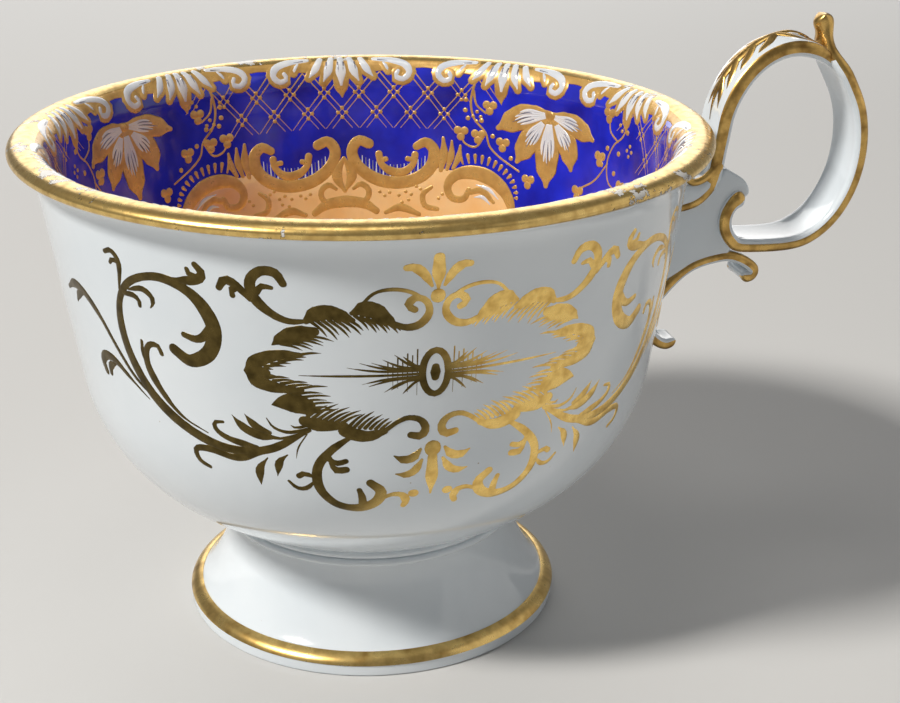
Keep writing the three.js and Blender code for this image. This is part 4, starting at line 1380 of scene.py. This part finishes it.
# Strokes of the half design: points round and down the wall from its middle line, then half-widths
inside_strokes = [
    # the big C-scroll, its hook and the crescent inside it
    ([(-11.4, 14.9), (-12.8, 14.2), (-14.1, 15.2), (-14.2, 17.2), (-12.8, 19.2), (-10.2, 20.5), (-7, 20.7),
      (-4.2, 19.8), (-2, 17.9), (-1.3, 15.6), (-2.4, 14.1), (-4, 14.6)],
     (0.6, 0.8, 1.0, 1.0, 1.0, 1.0, 1.0, 1.0, 0.95, 0.85, 0.8, 0.75)),
    ([(-11.2, 16.2), (-10.9, 17.7), (-9.4, 19), (-7.4, 18.9), (-5.9, 17.8), (-5.5, 16.2)],
     (0.55, 0.5, 0.65, 0.65, 0.5, 0.55)),
    ([(-10.9, 17), (-10, 16.9)], (0.35, 0.4)),
    ([(-5.8, 17.2), (-6.6, 17)], (0.35, 0.4)),
    # the side volute with its inner curl
    ([(-28.4, 24.2), (-26.8, 21.2), (-24.2, 19.2), (-21, 18.4), (-18, 19), (-16.6, 20.8), (-17.4, 22.6),
      (-19.4, 22.6), (-20.2, 21.2)], (0.5, 0.9, 1.1, 1.2, 1.1, 0.9, 0.7, 0.6, 0.5)),
    ([(-24.6, 22.6), (-22.4, 21), (-20.6, 21.4)], (0.3, 0.6, 0.5)),
    # the line along the apricot's plain edge, from the volute to the next design
    ([(-28.4, 24.2), (-31, 26), (-40, 26), (-52, 26), (-61.3, 26)], (0.5, 0.55, 0.6, 0.6, 0.6)),
    # upright leaves between the volute and the C-scroll
    ([(-15.4, 18.4), (-15.8, 16), (-15.6, 13.4)], (0.4, 0.65, 0.25)),
    ([(-16.4, 18.2), (-17, 16), (-17, 13.8)], (0.3, 0.55, 0.2)),
    ([(-17.4, 18), (-18.2, 16.2), (-18.4, 14.4)], (0.3, 0.5, 0.2)),
    # scrolls, arches and the half diamond on the apricot
    ([(0, 16.8), (-1.2, 19.4), (0, 22)], (0.3, 0.9, 0.3)),
    ([(-1.4, 21.6), (-2.6, 20.9), (-3.8, 21.8), (-3.6, 23.2), (-2.2, 24)], (0.3, 0.5, 0.5, 0.5, 0.3)),
    ([(-5, 25.2), (-3, 24), (0, 23.6)], (0.6, 0.9, 1.0)),
    ([(-14, 21.2), (-12.6, 22.4), (-13, 24.2), (-15, 24.6)], (0.3, 0.5, 0.5, 0.4)),
    ([(-12, 25.6), (-9, 24.6), (-6.6, 25.4)], (0.4, 0.7, 0.4)),
]
# Seeds strewn in loose groups on the apricot
SEED_SIZE = 0.27
seeds = [
    (-12.2, 21.6), (-11.5, 21.2), (-10.7, 22.5), (-9.8, 22.1), (-8.7, 22.7), (-10.3, 23.4), (-9.2, 23.8),
    (-7.2, 22.3), (-6.4, 22.8), (-5.6, 22.2), (-15.8, 22.2), (-15.2, 22.9), (-8, 26.6), (-7.2, 27.2),
    (-4.6, 26.8),
]
# Tapering dashes that fan out over the volute, longer one by one
FAN_CENTRE = (-21.6, 21.8)
FAN_WIDTH = 6.7
FAN_HEIGHT = 5
FAN_FIRST = -175
FAN_TURN = 9
DASH_COUNT = 13
DASH_LENGTH = 0.35
DASH_GROWS = 0.08
DASH_WIDTHS = (0.14, 0.3)
# White and grey hatching that hangs in a bow between the crescent and the C-scroll
HATCH_COUNT = 19
HATCH_FIRST = -12.8
HATCH_STEP = 0.55
HATCH_LENGTH = 2.2
HATCH_FOOT = 20.1
HATCH_MIDDLE = -7.8
HATCH_BOW = 0.06
HATCH_WIDTHS = (0.06, 0.13)
# White lights in the volute
LIGHT_WIDTHS = (0.1, 0.32, 0.1)
volute_lights = [
    [(-25.4, 22), (-23.6, 20.7), (-21.4, 20.2)],
    [(-24, 23), (-22.6, 22), (-21.2, 22.2)],
]

for angle in (INSIDE_MIDDLE, INSIDE_MIDDLE + 180):
    whole = painted_place(inside, INSIDE_RADIUS, angle, INSIDE_LIFT)
    for around, along in LOTUS_PLACES:
        for points, wide, white_share in lotus_petals:
            petal(whole, [(around + u, along + s) for u, s in points], wide, white_share)
        dot(whole, around, along, LOTUS_HEART, WHITE_HIGH)
    for half in (whole, mirrored(whole)):
        for points, widths in inside_strokes:
            brush(gold_paint, half, points, widths, GOLD_HIGH)
        sprig(half, *trellis_sprig)
        for around, along in seeds:
            dot(half, around, along, SEED_SIZE)
        for i in range(DASH_COUNT):
            turn = FAN_FIRST + FAN_TURN * i
            dash = DASH_LENGTH + DASH_GROWS * i
            root = oval_point(FAN_CENTRE, FAN_WIDTH, FAN_HEIGHT, turn)
            tip = oval_point(FAN_CENTRE, FAN_WIDTH + dash, FAN_HEIGHT + dash, turn)
            brush(gold_paint, half, [root, tip], DASH_WIDTHS, GOLD_LOW)
        for i in range(HATCH_COUNT):
            around = HATCH_FIRST + HATCH_STEP * i
            foot_at = HATCH_FOOT - HATCH_BOW * (around - HATCH_MIDDLE) ** 2
            hatch = [(around, foot_at - HATCH_LENGTH), (around, foot_at)]
            brush((white_paint, grey_paint)[i % 2], half, hatch, HATCH_WIDTHS, GOLD_LOW)
        for points in volute_lights:
            brush(white_paint, half, points, LIGHT_WIDTHS, WHITE_HIGH)
    trellis(whole, lines=4, limit=21)
    between = painted_place(inside, INSIDE_RADIUS, angle + 90, INSIDE_LIFT)
    trellis(between, lines=2, limit=12)
    for half in (between, mirrored(between)):
        sprig(half, *side_sprig)

# The acanthus border: white leaves and hooks over longer gold ones, on a gold ground under the lip
BORDER_REPEATS = 10
BORDER_EDGE = 0.5
BORDER_STREAK_WIDTHS = (0.12, 0.04)
border_leaves = [
    ([(0, 1.1), (0, 3.4), (-0.1, 5.6)], (0.5, 0.84, 0.14)),
    ([(-1.3, 1.1), (-1.9, 3.2), (-2.7, 4.9)], (0.48, 0.72, 0.14)),
    ([(-2.9, 1.2), (-3.7, 2.8), (-4.8, 4.2)], (0.48, 0.62, 0.14)),
    ([(-4.8, 1.2), (-7.3, 1.4), (-9.4, 2.2), (-10.1, 3.5), (-9.2, 4.5), (-8.1, 4.1), (-8.4, 3.3)],
     (0.4, 0.6, 0.68, 0.64, 0.52, 0.46, 0.34)),
    ([(-6.2, 1.9), (-6.7, 2.6), (-7, 3.4)], (0.2, 0.3, 0.08)),
]
border_ground = ([(0.2, 2.2), (-4, 2.2), (-8, 2), (-12.3, 1.8)], (1.3, 1.2, 1, 0.8))
border_tip = ([(0, 4.2), (0, 5.6), (-0.1, 7.2)], (1.2, 1, 0.15))
border_streaks = [[(-0.4, 1.8), (-0.3, 4.4)], [(-2, 1.8), (-2.3, 4)], [(-5.4, 1.4), (-7.8, 1.7)]]
for i in range(BORDER_REPEATS):
    border_angle = INSIDE_MIDDLE + 360 / BORDER_REPEATS * i
    whole = painted_place(inside, INSIDE_RADIUS, border_angle, INSIDE_LIFT)
    brush(gold_paint, whole, *border_tip, GOLD_HIGH)
    for half in (whole, mirrored(whole)):
        brush(gold_paint, half, *border_ground, GOLD_LOW)
        for points, widths in border_leaves:
            brush(gold_paint, half, points, [width + BORDER_EDGE for width in widths], GOLD_HIGH)
            brush(white_paint, half, points, widths, WHITE_HIGH)
        for points in border_streaks:
            brush(grey_paint, half, points, BORDER_STREAK_WIDTHS, STREAK_HIGH)

for name, paint, material, slot in (
    ("inside_gilding", gold_paint, inside_gold, "gilding"),
    ("inside_white_enamel", white_paint, white_enamel, "porcelain"),
    ("inside_grey_shading", grey_paint, grey_enamel, "porcelain"),
):
    layer = piece_from(name, *paint, material)
    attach(layer, "root")
